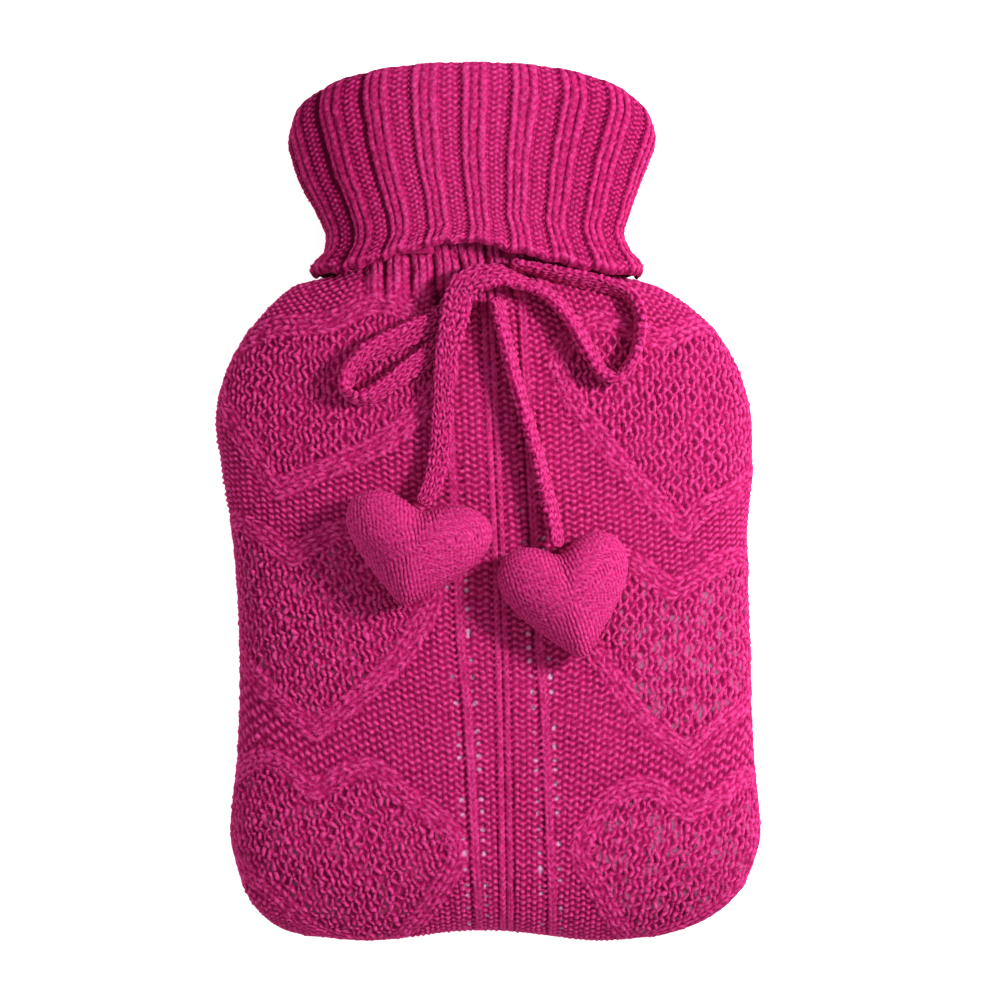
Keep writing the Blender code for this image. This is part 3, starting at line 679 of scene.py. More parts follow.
def body_half(side):
    """The front (side 1) or the back (side -1) as such a table."""
    spread = np.linspace(0, 1, 4000) ** 2
    y = BODY[0].y + (BODY[-1].y - BODY[0].y) * spread
    middle = arc_length(body_surface(y, math.pi / 2, side))
    rows_y = np.interp(np.linspace(0, middle[-1], TABLE_ROWS), middle, y)
    centre = smooth(CENTRE_LINE, "x", rows_y)
    angle = np.linspace(math.pi, 0, SECTION_POINTS)
    shares = np.linspace(-1, 1, TABLE_COLUMNS)
    points = np.empty((TABLE_ROWS, TABLE_COLUMNS, 3))
    left, right = np.empty(TABLE_ROWS), np.empty(TABLE_ROWS)
    for i, (row_y, centre_x) in enumerate(zip(rows_y, centre)):
        section = body_surface(np.full_like(angle, row_y), angle, side)
        run = arc_length(section)
        left[i] = np.interp(centre_x, section[:, 0], run)
        right[i] = run[-1] - left[i]
        at = left[i] + np.where(shares < 0, shares * left[i], shares * right[i])
        points[i] = places_along(section, run, at)
    return Half(points, middle[-1], left, right, rows_y)


def from_table(table, row, column):
    """Values of a table between its rows and columns."""
    i = np.clip(np.floor(row).astype(int), 0, table.shape[0] - 2)
    j = np.clip(np.floor(column).astype(int), 0, table.shape[1] - 2)
    p, q = row - i, column - j
    if table.ndim > 2:
        p, q = p[..., None], q[..., None]
    low = table[i, j] * (1 - q) + table[i, j + 1] * q
    high = table[i + 1, j] * (1 - q) + table[i + 1, j + 1] * q
    return low * (1 - p) + high * p


# The lie of the stitches over one half: base points, normals, the length along the middle of the
# row of stitches (course) and of the place itself (along), the distance from the centre line
# (across), y, the number of the column of stitches (wale), and how far the nearest seam is (edge).
Lie = namedtuple("Lie", "points normals course along across y wale edge")


def stitch_lie(half, rows, columns, bowed):
    """Stitch coordinates over one half, on rows that follow the bowed rows of stitches."""
    course = np.linspace(0, half.length, rows)[:, None]
    share = np.linspace(-1, 1, columns)[None, :]
    table_v = np.linspace(0, half.length, TABLE_ROWS)
    course_y = np.interp(course, table_v, half.rows_y)
    reach = np.where(share < 0, np.interp(course, table_v, half.left),
                     np.interp(course, table_v, half.right))
    bow = smooth(BOWS, "bow", course_y) * (share * reach / 100) ** 2 if bowed else 0 * share
    along = np.clip(course + bow, 0, half.length)
    row = along / half.length * (TABLE_ROWS - 1)
    column = (share + 1) / 2 * (TABLE_COLUMNS - 1) + 0 * row
    points = from_table(half.points, row, column)
    y = np.interp(along, table_v, half.rows_y)
    left, right = (np.interp(along, table_v, side) for side in (half.left, half.right))
    across = np.where(share < 0, share * left, share * right)
    wale = across * smooth(DRAWN, "draw", y) / WALE
    edge = np.minimum(np.where(share < 0, left + across, right - across), along)
    return Lie(points, grid_normals(points), course + 0 * across, along, across, y, wale, edge)


# ---- stitch heights ----

def purl(course, wale):
    """Reverse stockinette, 0 to 1: short bumps in a brick order, linked by a lower wave."""
    swing = np.cos(2 * math.pi * wale)
    wave = course - PURL.wave * swing
    bump = PURL.link + (1 - PURL.link) * np.abs(swing) ** PURL.round
    return bell(wave - np.round(wave), PURL.soft) * bump


def beaded(along, bead):
    """1 in the middle of a stitch and 1 - bead at its ends."""
    return 1 - bead + bead * np.sin(math.pi * along) ** BEAD_ROUND


def knit(course, wale, bead=0.55, lean=0.8):
    """Stockinette, 0 to 1: columns of V stitches, a course high and a wale wide, more or less beaded."""
    from_middle = np.abs(part_of(wale) - 0.5)
    along = part_of(course - lean * 2 * from_middle)
    return hump(from_middle - 0.25, 0.25) * beaded(along, bead)


def rib_knit(course, wale):
    """Stockinette stretched in a rib, 0 to 1: smooth columns with only a faint V in each."""
    from_middle = np.abs(part_of(wale) - 0.5)
    along = part_of(course - STRETCHED.lean * from_middle)
    between = bell(0.5 - from_middle, STRETCHED.gap_wide)
    return hump(from_middle, 0.5) * beaded(along, STRETCHED.bead) - STRETCHED.gap * between


def strokes(along, across):
    """Uneven columns of stitches, 0 to 1, that slant left and right by turns and are staggered."""
    chance = np.random.default_rng(STROKE.seed).uniform(-1, 1, (LATTICE, LATTICE))
    column = np.floor(across).astype(int)
    up = along + STROKE.stagger * (column % 2) + STROKE.stray * chance[0, column % LATTICE]
    row = np.floor(up).astype(int)
    side = 1 - 2 * ((row + column) % 2)
    centre = 0.5 + STROKE.slant * side * (2 * (up - row) - 1)
    own = 1 + STROKE.uneven * chance[row % LATTICE, column % LATTICE]
    return hump(across - column - centre, STROKE.half) * beaded(up - row, STROKE.bead) * own


def outline(motif, half):
    """The cable's line round a heart of the pattern, with a sharp tip and notch."""
    table_v = np.linspace(0, half.length, TABLE_ROWS)
    arms = []
    for arm in ((motif.tip, *motif.outer, motif.notch), (motif.notch, *motif.inner, motif.tip)):
        places = np.array(arm, dtype=float)
        places[:, 1] = np.interp(places[:, 1], half.rows_y, table_v)
        run = arc_length(places)
        at = np.linspace(0, run[-1], OUTLINE_STEPS * (len(arm) - 1) + 1)
        arms.append(np.stack([rounded(run, places[:, k], at) for k in range(2)], axis=-1)[:-1])
    return np.concatenate(arms)


def from_outline(across, along, line):
    """Distance of places from a closed line, positive inside, and the length along it to the nearest."""
    best = np.full(across.shape, 1e9)
    run = np.zeros(across.shape)
    inside = np.zeros(across.shape, dtype=bool)
    travelled = 0
    for start, end in zip(line, np.roll(line, -1, axis=0)):
        span = end - start
        length = np.hypot(*span)
        t = np.clip(((across - start[0]) * span[0] + (along - start[1]) * span[1]) / length ** 2, 0, 1)
        away = np.hypot(across - start[0] - t * span[0], along - start[1] - t * span[1])
        nearer = away < best
        best[nearer] = away[nearer]
        run[nearer] = (travelled + t * length)[nearer]
        if span[1] != 0:
            crossing = start[0] + (along - start[1]) / span[1] * span[0]
            inside ^= ((along >= start[1]) != (along >= end[1])) & (across < crossing)
        travelled += length
    return np.where(inside, best, -best), run


# ---- front ----

def add_motif(stitch, rise, pale, lie, motif, half):
    """Works one heart of the pattern into the stitches: its cable, and the slanting stitches inside."""
    line = outline(motif, half)
    low, high = line.min(0) - GROUND.margin, line.max(0) + GROUND.margin
    near = (lie.across > low[0]) & (lie.across < high[0]) & (lie.along > low[1]) & (lie.along < high[1])
    across, along = lie.across[near], lie.along[near]
    from_line, run = from_outline(across, along, line)
    middle = line.mean(0)
    right, up = turned(across - middle[0], along - middle[1], -motif.lean)
    stray = JITTER * lumps("motif_stray", across, along)
    sway = JITTER * lumps("motif_sway", across, along)
    strands = strokes(up / STROKE.step + stray, right / STROKE.wale + sway)
    inside = step_up(-SOFT_EDGE, SOFT_EDGE, from_line)
    worked = stitch[near] * (1 - inside) + STROKE.rise * strands * inside
    out = np.abs(from_line)
    banded = step_up(CABLE.half + SOFT_EDGE, CABLE.half - SOFT_EDGE, out)
    legs = knit(run / CABLE.step + stray, from_line / CABLE.wale + CABLE.sway * sway, FIRM_BEAD)
    legs *= CABLE.knit * lumps("cable_strength", across, along, about=1)
    stitch[near] = worked * (1 - banded) + legs * banded
    rise[near] += CABLE.rise * np.clip(1 - (out / CABLE.half) ** 2, 0, None)
    shown = motif.ground * step_up(GROUND.level, 0, strands) * inside * (1 - banded)
    pale[near] += shown * step_up(*GROUND.patches, lumps("motif_ground", across, along))


def eyelets(groove, lie):
    """How deep the two lines of holes beside a rib are, 0 to 1."""
    course = lie.course / COURSE / EYELET.courses
    up = part_of(course + lumps("eyelet_stray", lie.across, lie.along)) - 0.5
    line = sum(bell(groove - place, EYELET.half[0]) for place in EYELET.places)
    hole = line * bell(up * EYELET.courses * COURSE, EYELET.half[1])
    hole *= step_up(EYELET.top + EYELET.top_fade, EYELET.top, lie.y)
    return hole * step_up(*EYELET.open, lumps("eyelet_open", lie.across, lie.along))


def centre_panel(stitch, rise, pale, lie):
    """The line down the middle with a knitted cord each side, and the two ribs with their holes."""
    out = np.abs(lie.across)
    course = lie.course / COURSE
    strayed = course + lumps("centre_stray", lie.across, lie.along)
    cords = KNIT_RISE * knit(strayed, (out - CENTRE.start) / CENTRE.wale, FIRM_BEAD)
    stitch[:] = np.where(out < CENTRE.half, cords, stitch)
    stitch -= GROOVE_DEPTH * bell(out - CENTRE.groove, CENTRE.gap_wide)
    rise += CENTRE.lift * step_up(*CENTRE.edge, out) - CENTRE.gap * bell(out, CENTRE.gap_wide)
    pale_y = step_up(EYELET.pale_top + EYELET.pale_fade, EYELET.pale_top, lie.y)
    for side in ("left", "right"):
        groove = lie.across - smooth(RIBS, side, lie.y)
        middle = np.abs(groove - FRONT_RIB.middle)
        column = KNIT_RISE * knit(course, middle / (2 * FRONT_RIB.half) + 0.5, FIRM_BEAD)
        stitch[:] = np.where(middle < FRONT_RIB.half, column, stitch)
        rise += FRONT_RIB.lift * step_up(*FRONT_RIB.edge, middle)
        hole = eyelets(groove, lie)
        stitch -= GROOVE_DEPTH * bell(groove, FRONT_RIB.groove_wide) + EYELET.depth * hole
        pale += np.clip(EYELET.pale[0] * hole - EYELET.pale[1], 0, 1) * pale_y


def neck_ribs(stitch, rise, lie):
    """Ribs the top of the front where it is gathered under the hem, and gives the hollow beside them."""
    out = np.abs(lie.across - NECK.middle)
    gathered = step_up(*NECK.start, lie.y) * step_up(*NECK.half, out)
    sway = lumps("neck_sway", lie.across, lie.along)
    phase = part_of(lie.across / NECK.rib + NECK.sway * sway)
    rib = RIB.knit * rib_knit(lie.course / COURSE, lie.across / NECK.wale + NECK.wale_sway * sway)
    stitch[:] = stitch * (1 - gathered) + rib * gathered
    rise += gathered * NECK.rise * (hump(phase - NECK.rib_at, NECK.rib_half) - NECK.sink)
    hollow = (bell(lie.points[..., 0] - HOLLOW.place[0], HOLLOW.half[0])
              * bell(lie.y - HOLLOW.place[1], HOLLOW.half[1]))
    rise -= HOLLOW.depth * hollow
    return hollow


def front(half):
    """The patterned front: purl rows, the hearts of the pattern, the centre and the ribs of the neck."""
    lie = stitch_lie(half, FRONT_ROWS, FRONT_COLUMNS + 1, bowed=True)
    stray = JITTER * lumps("front_stray", lie.across, lie.along)
    stitch = PURL.rise * purl(lie.course / COURSE + stray, lie.wale + 0.5 * stray)
    rise, pale = np.zeros_like(stitch), np.zeros_like(stitch)
    for motif in MOTIFS:
        add_motif(stitch, rise, pale, lie, motif, half)
    centre_panel(stitch, rise, pale, lie)
    hollow = neck_ribs(stitch, rise, lie)
    stitch *= lumps("front_strength", lie.across, lie.along, about=1)
    rise += lumps("front_swell", lie.across, lie.along)
    # the hollow's painted shade darkens the yarn there
    depth = depth_of(stitch, rise, FRONT_REACH) - HOLLOW.shade * hollow
    height = (stitch + rise) * step_up(0, SEAM_FADE, lie.edge)
    face = lie.points + lie.normals * height[..., None]
    back = lie.points - lie.normals * CLOTH
    return cloth_strips("front", face, back, depth, pale, FRONT_STRIPS, "patterned_knit", "front_panel")


def depth_of(stitch, rise, reach, wrap=False):
    """How far each point stands out of its neighbours: mostly by its stitch, a little by larger forms."""
    return (stitch - blurred(stitch, reach, wrap)) + LARGE_SHARE * (rise - blurred(rise, reach, wrap))


def cloth_strips(name, face, back, depth, pale, strips, slot, node):
    """One half of the body in upright strips that share their edges."""
    made = []
    columns = face.shape[1] - 1
    normals = outward_normals(face, back)
    for k in range(strips):
        part = slice(columns * k // strips, columns * (k + 1) // strips + 1)
        obj = cloth_piece(f"{name}_{k + 1}", face[:, part], back[:, part], normals[:, part], depth[:, part],
                          pale[:, part], slot)
        made.append(obj)
    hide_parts(node)
    return made


# ---- back ----

def back_half(half):
    """The plain back, flat where it lies on the floor."""
    lie = stitch_lie(half, BACK_ROWS, BACK_COLUMNS + 1, bowed=False)
    height = KNIT_RISE * knit(lie.course / COURSE, lie.wale)
    depth = depth_of(height, 0 * height, BACK_REACH)
    height = height * step_up(0, SEAM_FADE, lie.edge)
    outward = -lie.normals
    face = lie.points + outward * height[..., None]
    face[..., 2] = np.maximum(face[..., 2], 0)
    back = lie.points - outward * CLOTH
    return cloth_strips("back", face, back, depth, 0 * depth, BACK_STRIPS, "plain_knit", "back_panel")


# ---- collar ----

def collar_middle():
    """Middle of the collar's cloth as a fine grid: rings from the hem over the fold to the neck."""
    table = np.array(COLLAR)
    rough = arc_length(table[:, [1, 2, 3, 5]])
    fold = rough[COLLAR_FOLD]
    at = np.concatenate([np.linspace(0, fold, COLLAR_FACE_ROWS),
                         np.linspace(fold, rough[-1], COLLAR_ROWS - COLLAR_FACE_ROWS + 1)[1:]])
    columns = [rounded(rough, table[:, k], at)[:, None] for k in range(table.shape[1])]
    y_side, y_front, left, right, under, front, broad = columns
    lowered = FOLD.lower * bell(at - fold, FOLD.lower_reach)[:, None]
    y_side, y_front = y_side - FOLD.lower_side * lowered, y_front - lowered
    angle = math.pi / 2 - np.linspace(-math.pi, math.pi, RING_POINTS, endpoint=False)[None, :]
    across = power(np.cos(angle), 2 / COLLAR_SQUARE)
    rise = power(np.sin(angle), 2 / COLLAR_SQUARE)
    x = (left + right) / 2 + (right - left) / 2 * across
    z = (under + front) / 2 + (front - under) / 2 * rise
    hem_arch = bell(x - HEM_PEAK, HEM_SPREAD) * np.where(rise > 0, rise, -UNDER_ARCH * rise)
    arch = hem_arch * (1 - broad) + np.abs(rise) * broad
    rings = np.stack([x, y_side + (y_front - y_side) * arch, z], axis=-1)
    turn = np.linspace(-1, 1, COLLAR_COLUMNS, endpoint=False)
    share = (COLLAR_EVEN * turn + (1 - COLLAR_EVEN) * turn ** 3) / 2
    middle = np.empty((COLLAR_ROWS, COLLAR_COLUMNS, 3))
    for i, ring in enumerate(rings):
        closed = np.concatenate([ring, ring[:1]])
        run = arc_length(closed)
        front_run = run[len(ring) // 2]
        middle[i] = places_along(closed, run, (front_run + share * run[-1]) % run[-1])
    return middle, share


def collar_stitches(run, share, left_side):
    """Heights of the collar's stitches and of its ribs and folds, and where its ribs are raised."""
    around = share * COLLAR_ROUND
    stray = JITTER * lumps("collar_stray", around, run)
    phase = part_of(share * COLLAR_RIBS + RIB.groove + RIB.stray * stray)
    raised = step_up(0, RIB.foot, phase)
    raised = raised * step_up(RIB.raised + RIB.fall[0], RIB.raised - RIB.fall[1], phase)
    columns = RIB.knit * rib_knit(run / COURSE + stray, RIB.wales * phase / RIB.raised)
    between = (phase - RIB.raised) / (1 - RIB.raised)
    bumps = RIB.purl * purl(run / RIB.course + stray, RIB.bumps * between)
    stitch = (columns * raised + bumps * (1 - raised)) * lumps("collar_strength", around, run, about=1)
    from_groove = np.minimum(phase, 1 - phase)
    stitch -= GROOVE_DEPTH * bell(from_groove, RIB.line)
    rise = RIB.rise * (2 * raised - 1) - FOLD.groove * left_side * bell(from_groove, FOLD.wide)
    roll = lumps("hem_roll", around, run, about=HEM.roll_least)
    return stitch, rise + HEM.roll * bell(run - HEM.lip, HEM.roll_wide) * roll, raised


def collar():
    """The ribbed collar: one cloth from its hem up, over the fold and down inside to the neck."""
    middle, share = collar_middle()
    share = share[None, :]
    run = np.mean([arc_length(column) for column in middle.swapaxes(0, 1)], axis=0)[:, None]
    ragged = lumps("hem_line", share * COLLAR_ROUND, 0 * share)
    middle[..., 1] += HEM.ragged * ragged * bell(run, HEM.ragged_reach)
    outward = facing_up(grid_normals(middle, wrap=True), COLLAR_TOP)
    left_side = step_up(*LEFT_SIDE, middle[..., 0])
    right_side = step_up(*RIGHT_SIDE, middle[..., 0])
    stitch, rise, raised = collar_stitches(run, share, left_side)
    # Painted light on the recessed bumps, and painted shade on the left and right sides.
    light = RIB.light * (1 - raised) - FOLD.shade * left_side - RIGHT_SHADE * right_side
    depth = depth_of(stitch, rise, COLLAR_REACH, wrap=True) + light
    flattened = 1 - CREASE * bell(run - run[COLLAR_FACE_ROWS - 1], CREASE_REACH)
    height = (stitch + rise) * flattened - RIB.sink
    lip = hump(1 - np.clip(run / HEM.lip, 0, 1), 1)
    face = middle + outward * ((CLOTH + height) * lip - CLOTH / 2)[..., None]
    back = middle - outward * CLOTH / 2
    for side in (face, back):
        side[..., 2] = np.maximum(side[..., 2], 0)
    normals = outward_normals(face, back, wrap=True)
    obj = cloth_piece("collar_cloth", face, back, normals, depth, 0 * depth, "rib_knit", wrap=True)
    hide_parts("collar")
    return obj


# ---- tie ----

def tie_line(rows):
    """A stretch of the tie at fine steps: its middle, its lean and its width."""
    table = np.array(rows)
    key = arc_length(table[:, :2])
    at = np.linspace(0, key[-1], max(12, round(key[-1] / TIE.step)))
    x, y, lift, wide, lean = (rounded(key, table[:, k], at) for k in range(5))
    lean = np.radians(lean)
    half_high = wide * (CORD_WIDTH * np.abs(np.sin(lean)) + CORD_THICK * np.abs(np.cos(lean))) / 2
    return np.stack([x, y, front_height(x, y) + lift + half_high], axis=-1), lean, wide


def cord_outline(count):
    """The flat cord's rounded section, at points evenly spaced round it."""
    angle = np.linspace(0, 2 * math.pi, 1001)
    section = np.stack([CORD_WIDTH / 2 * power(np.cos(angle), CORD_CORNERS),
                        CORD_THICK / 2 * power(np.sin(angle), CORD_CORNERS)], axis=-1)
    run = arc_length(section)
    return places_along(section, run, np.linspace(0, run[-1], count, endpoint=False)).T


def closed_tube(name, rings, depth):
    """A cord through its rings of points, closed at both ends."""
    form = Form()
    numbers = form.add(rings, depth)
    form.quads(numbers, wrap=True)
    form.face(numbers[0][::-1])
    form.face(numbers[-1])
    return form.make(name, "cord_knit")


def tie_tube(name, path, lean, wide):
    """A flat knitted cord along its path, with small V stitches all round."""
    run = arc_length(path)[:, None]
    tangent = unit(np.gradient(path, axis=0))
    level = unit(np.cross(tangent, (0, 0, 1)))
    upright = np.cross(level, tangent)
    cos, sin = np.cos(lean)[:, None], np.sin(lean)[:, None]
    flat = (level * cos + upright * sin)[:, None]
    thick = (upright * cos - level * sin)[:, None]
    side_x, side_y = cord_outline(TIE.round)
    columns = (side_x[None, :] / CORD_WIDTH + 0.5) * TIE.columns
    course = run / TIE.stitch + lumps("tie_stray", run + TIE.skew * columns, TIE.stray_apart * columns,
                                      own_seed=len(name))
    columns = columns + lumps("tie_sway", run, TIE.sway_apart * columns, own_seed=len(name))
    strength = lumps("tie_strength", run, TIE.strength_apart * columns, about=1, own_seed=len(name))
    stitch = TIE.rise * strength * (knit(course, columns, TIE.bead) - KNIT_MEAN)
    # painted shade and light by depth, made stronger on the tie
    depth = TIE.contrast * depth_of(stitch, 0 * stitch, TIE.reach, wrap=True)
    end = np.minimum(run, run[-1] - run) + TIE.tip
    wide = wide[:, None] * hump(1 - np.clip(end / TIE.end, 0, 1), 1)
    side_x, side_y = side_x[None, :, None], side_y[None, :, None]
    outward = unit(flat * (side_x / CORD_WIDTH ** 2) + thick * (side_y / CORD_THICK ** 2))
    section = wide[..., None] * (flat * side_x + thick * side_y)
    return closed_tube(name, path[:, None] + section + outward * stitch[..., None], depth)


def tie(name, rows):
    """One free stretch of the tie."""
    path, lean, wide = tie_line(rows)
    obj = tie_tube(name + "_cord", path, lean, wide)
    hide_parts(name)
    return obj


def band():
    """The stretch of the tie round the neck, under the collar."""
    away = BAND.lift + CORD_THICK / 2
    neck = BODY[-1]
    angle = np.radians(np.linspace(90 + BAND.mouth, 450 - BAND.mouth, BAND.steps))

    def bowed(low, high, share):
        """Places between the two ends of the neck's section, and a little beyond them."""
        return (low + high) / 2 + ((high - low) / 2 + away) * power(share, 2 / neck.square)

    x, z = bowed(neck.left, neck.right, np.cos(angle)), bowed(neck.back, neck.crown, np.sin(angle))
    path = np.stack([x, 0 * x + BAND.y, z], axis=-1)
    outward = np.cross(unit(np.gradient(path, axis=0)), (0, 1, 0))
    turn = np.linspace(0, 2 * math.pi, BAND.round, endpoint=False)
    wide = CORD_WIDTH * BAND.share / 2 * power(np.cos(turn), CORD_CORNERS)
    thick = CORD_THICK / 2 * power(np.sin(turn), CORD_CORNERS)
    course = arc_length(path)[:, None] / TIE.stitch
    height = BAND.knit * knit(course, (wide[None, :] / CORD_WIDTH + 0.5) * TIE.columns)
    rings = path[:, None] + outward[:, None] * (thick[None, :] + height * np.sign(thick))[..., None]
    rings[..., 1] += wide
    obj = closed_tube("neck_band", rings, height - height.mean())
    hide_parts("tie_band")
    return obj


def knot():
    """The knot of the bow, a stretch of the cord that folds over the others."""
    obj = tie_tube("bow_knot", *tie_line(KNOT))
    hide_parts("tie_knot")
    return obj


# ---- stuffed hearts ----

def disc(count):
    """A square grid of points spread over a disc: how far out each is, and its angle."""
    u, v = np.meshgrid(np.linspace(-1, 1, count), np.linspace(-1, 1, count))
    wide = np.abs(u) > np.abs(v)
    out = np.maximum(np.abs(u), np.abs(v))
    long = np.where(wide, u, np.where(v == 0, 1, v))
    angle = math.pi / 4 * np.where(wide, v / np.where(u == 0, 1, u), 2 - u / long)
    return out, angle + np.where(long < 0, math.pi, 0)


def heart_rise(t):
    """The sum of the outline's harmonics at angles round it."""
    return sum(weight * np.cos((k + 1) * t) for k, weight in enumerate(HEART.harmonics))


def heart_outline(row, t):
    """The heart's outline about its middle, turned, at angles round it."""
    whole = heart_rise(np.linspace(0, 2 * math.pi, 720))
    low, high = whole.min(), whole.max()
    across = HEART.blunt * np.sin(t) + (1 - HEART.blunt) * np.sin(t) ** 3
    up = (heart_rise(t) - (low + high) / 2) / (high - low)
    return np.stack(turned(across * row.wide / 2, up * row.high, row.turn), axis=-1)


def arc_share(swell, angle, radius):
    """Length over the swelling surface from its pole to an angle, as a share of the radius."""
    fine = np.linspace(0, math.pi / 2, 400)
    speed = np.sqrt((radius * np.sin(fine)) ** 2 + (swell * np.cos(fine)) ** 2)
    run = np.concatenate([[0], np.cumsum((speed[1:] + speed[:-1]) / 2 * np.diff(fine))])
    return (run[-1] - np.interp(np.abs(angle), fine, run)) / radius


def heart_side(row, swell):
    """One side of a stuffed heart, with columns of V stitches over it: its points and their depth."""
    out, angle = disc(HEART.grid)
    line = heart_outline(row, angle)
    lift = (1 - out) * math.pi / 2
    base = np.concatenate([line * np.cos(lift)[..., None], (swell * np.sin(lift))[..., None]], axis=-1)
    right, up = turned(line[..., 0], line[..., 1], -row.stitches)
    share = arc_share(abs(swell), lift, HEART.radius)
    right, up = right * share, up * share
    stray = JITTER * lumps("heart_stray", right, up)
    stitch = knit(up / COURSE + HEART.row_stray * stray, right / HEART.wale + stray, HEART.bead, HEART.lean)
    height = HEART.rise * (stitch - KNIT_MEAN)
    outward = facing_up(grid_normals(base), HEART_TOP) * math.copysign(1, swell)
    rim = step_up(*HEART.rim, out)
    return base + outward * (height * rim)[..., None], depth_of(height, 0 * height, HEART.reach)


def stuffed_heart(row):
    """A stuffed heart: its two sides meet at the rim."""
    lift = float(front_height(row.x, row.y)) + HEART.lift + HEART.back

    def placed(points):
        x, z = turned(points[..., 0], points[..., 2], row.slope)
        return np.stack([x + row.x, points[..., 1] + row.y, z + lift], axis=-1)

    inner = (slice(1, -1), slice(1, -1))
    form = Form()
    points, depth = heart_side(row, HEART.front)
    over = form.add(placed(points), depth)
    clockwise = grid_normals(points)[HEART_TOP][2] < 0
    points, depth = heart_side(row, -HEART.back)
    under = over.copy()
    under[inner] = form.add(placed(points[inner]), depth[inner])
    form.quads(over, turned=clockwise)
    form.quads(under, turned=not clockwise)
    obj = form.make(row.name + "_stuffed", "heart_knit")
    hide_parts(row.name)
    return obj


# ---- materials, light and camera ----

def node(tree, kind, inputs, **settings):
    """A new node with its settings. Each input is set to a value, or linked where a socket is given."""
    made = tree.nodes.new("ShaderNode" + kind)
    for key, value in settings.items():
        setattr(made, key, value)
    for key, value in inputs.items():
        if isinstance(value, bpy.types.NodeSocket):
            tree.links.new(value, made.inputs[key])
        else:
            made.inputs[key].default_value = value
    return made


def mixed(tree, share, first, second, **settings):
    """Two colours mixed."""
    return node(tree, "Mix", {0: share, 6: first, 7: second}, data_type="RGBA", **settings).outputs[2]


def ranged(tree, value, start, end):
    """A value brought from one range to another."""
    limits = {"From Min": start[0], "From Max": start[1], "To Min": end[0], "To Max": end[1]}
    return node(tree, "MapRange", {"Value": value, **limits}).outputs[0]


def noise(tree, scale, **inputs):
    """Noise of a scale over the object."""
    place = node(tree, "TexCoord", {}).outputs["Object"]
    return node(tree, "TexNoise", {"Vector": place, "Scale": scale, **inputs}).outputs[0]


def material(name, inputs):
    """A new material with the given inputs of its shader, and that shader."""
    mat = bpy.data.materials.new(name)
    mat.use_nodes = True
    shader = mat.node_tree.nodes["Principled BSDF"]
    for key, value in inputs.items():
        shader.inputs[key].default_value = value
    return mat, shader


def knit_material(name, shift):
    """Knitted wool mix: painted shade between the stitches and painted light on their tops, by depth, with a
    heather of lighter fibres shown most on those painted-lit tops.
    """
    mat, shader = material(name, {"Roughness": 0.85, "Specular IOR Level": 0.04})
    tree = mat.node_tree
    depth, pale = (node(tree, "Attribute", {}, attribute_name=label).outputs["Fac"]
                   for label in ("depth", "pale"))
    # the depth's painted shade and light, lifted by this knitting's painted light shift
    lit = node(tree, "Math", {0: depth, 1: DEPTH_GAIN, 2: 0.5 + shift}, operation="MULTIPLY_ADD").outputs[0]
    ramp = node(tree, "ValToRGB", {0: lit})
    low, high = ramp.color_ramp.elements
    low.position, low.color = DEEP_SHADE_AT, DEEP_SHADE
    high.position, high.color = LIT_AT, LIT
    ramp.color_ramp.elements.new(0.5).color = YARN

    flecks = ranged(tree, noise(tree, 800, Detail=3, Roughness=0.75), (0.3, 0.7), (0.6, 1.4))
    flecked = mixed(tree, 1, ramp.outputs[0], flecks, blend_type="MULTIPLY")
    hairs = ranged(tree, noise(tree, 900, Detail=2, Roughness=0.6), (0.56, 0.76), (0, 0.8))
    upper = node(tree, "Math", {0: hairs, 1: lit}, operation="MULTIPLY", use_clamp=True).outputs[0]
    heathered = mixed(tree, upper, flecked, HEATHER)
    tree.links.new(mixed(tree, pale, heathered, PALE), shader.inputs["Base Color"])

    fibres = noise(tree, 1600, Detail=2)
    bump = node(tree, "Bump", {"Height": fibres, "Strength": 0.35, "Distance": 0.0004})
    tree.links.new(bump.outputs[0], shader.inputs["Normal"])
    return mat


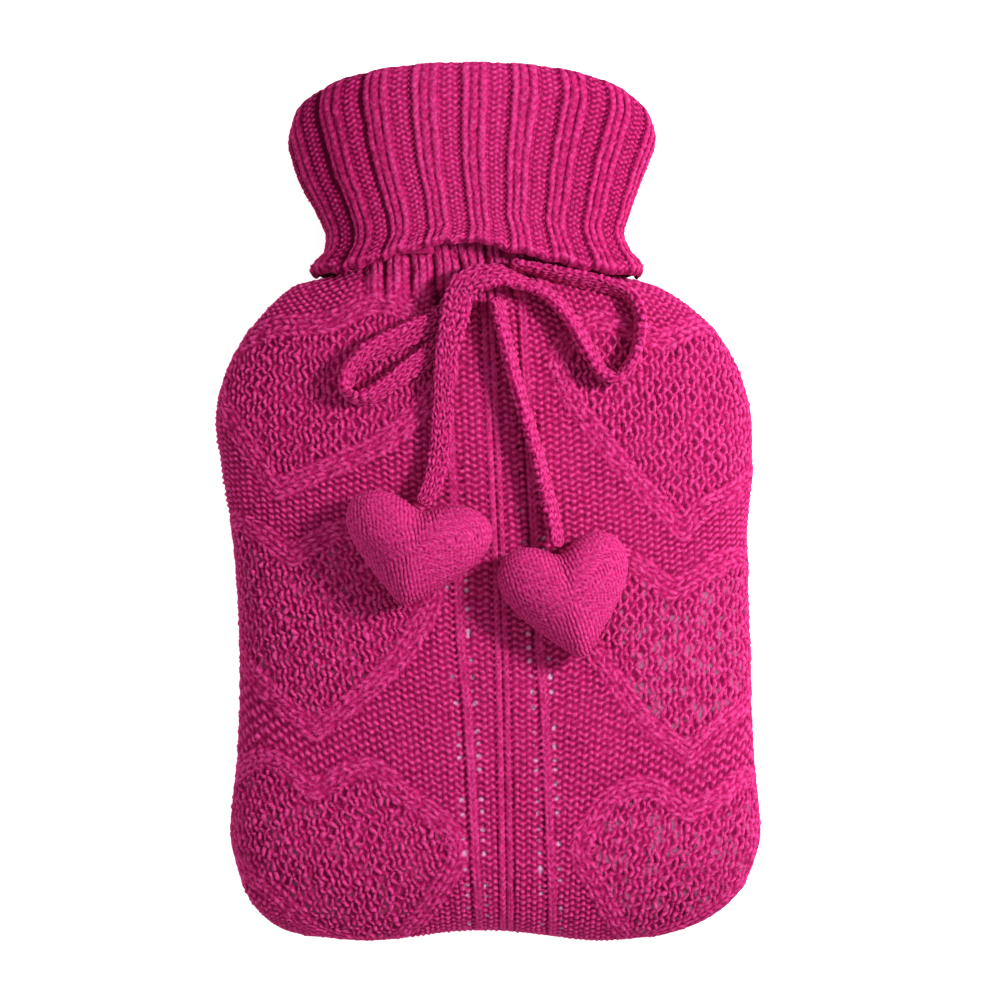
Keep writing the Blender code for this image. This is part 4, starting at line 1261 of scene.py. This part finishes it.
def camera():
    """The camera at the photograph's viewing angle, from straight above."""
    data = bpy.data.cameras.new("camera")
    data.sensor_width = SENSOR
    data.lens = SENSOR * VIEW_DISTANCE / VIEW_WIDTH
    data.clip_end = 10
    obj = bpy.data.objects.new("camera", data)
    obj.location = (VIEW_CENTRE[0] * MM, VIEW_CENTRE[1] * MM, (VIEW_HEIGHT + VIEW_DISTANCE) * MM)
    bpy.context.scene.collection.objects.link(obj)
    bpy.context.scene.camera = obj


def area_light(name, place, target, size, power_w):
    """A soft square light that faces a point."""
    data = bpy.data.lights.new(name, "AREA")
    data.size = size
    data.energy = power_w
    obj = bpy.data.objects.new(name, data)
    obj.location = place
    obj.rotation_euler = (Vector(target) - Vector(place)).to_track_quat("-Z", "Y").to_euler()
    bpy.context.scene.collection.objects.link(obj)


def studio():
    """Plain soft light over a pale floor."""
    scene = bpy.context.scene
    scene.view_settings.view_transform = "Standard"
    scene.world = bpy.data.worlds.new("studio")
    scene.world.use_nodes = True
    background = scene.world.node_tree.nodes["Background"]
    background.inputs[0].default_value = SKY
    background.inputs[1].default_value = SKY_STRENGTH
    area_light("key", KEY.place, KEY.target, KEY.size, KEY.power)
    mesh = bpy.data.meshes.new("floor")
    corners = [(-1, -1), (1, -1), (1, 1), (-1, 1)]
    mesh.from_pydata([(x * FLOOR_HALF, y * FLOOR_HALF, 0) for x, y in corners], [], [(0, 1, 2, 3)])
    mat, _ = material("pale_floor", {"Base Color": FLOOR, "Roughness": 0.9, "Emission Color": FLOOR,
                                     "Emission Strength": FLOOR_GLOW})
    mesh.materials.append(mat)
    floor = bpy.data.objects.new("floor", mesh)
    scene.collection.objects.link(floor)


MATERIALS = {slot: knit_material(slot, shift) for slot, shift in PAINTED_LIGHT_SHIFTS.items()}


def main():
    """The whole scene."""
    camera()
    studio()
    hearts = {row.name: stuffed_heart(row) for row in HEARTS}
    tie("tie_tail_left", TAIL_LEFT)
    tie("tie_tail_right", TAIL_RIGHT)
    tie("tie_loop_left", LOOP_LEFT)
    tie("tie_loop_right", LOOP_RIGHT)
    knot()
    band()
    front(body_half(1))
    back_half(body_half(-1))
    collar()


main()
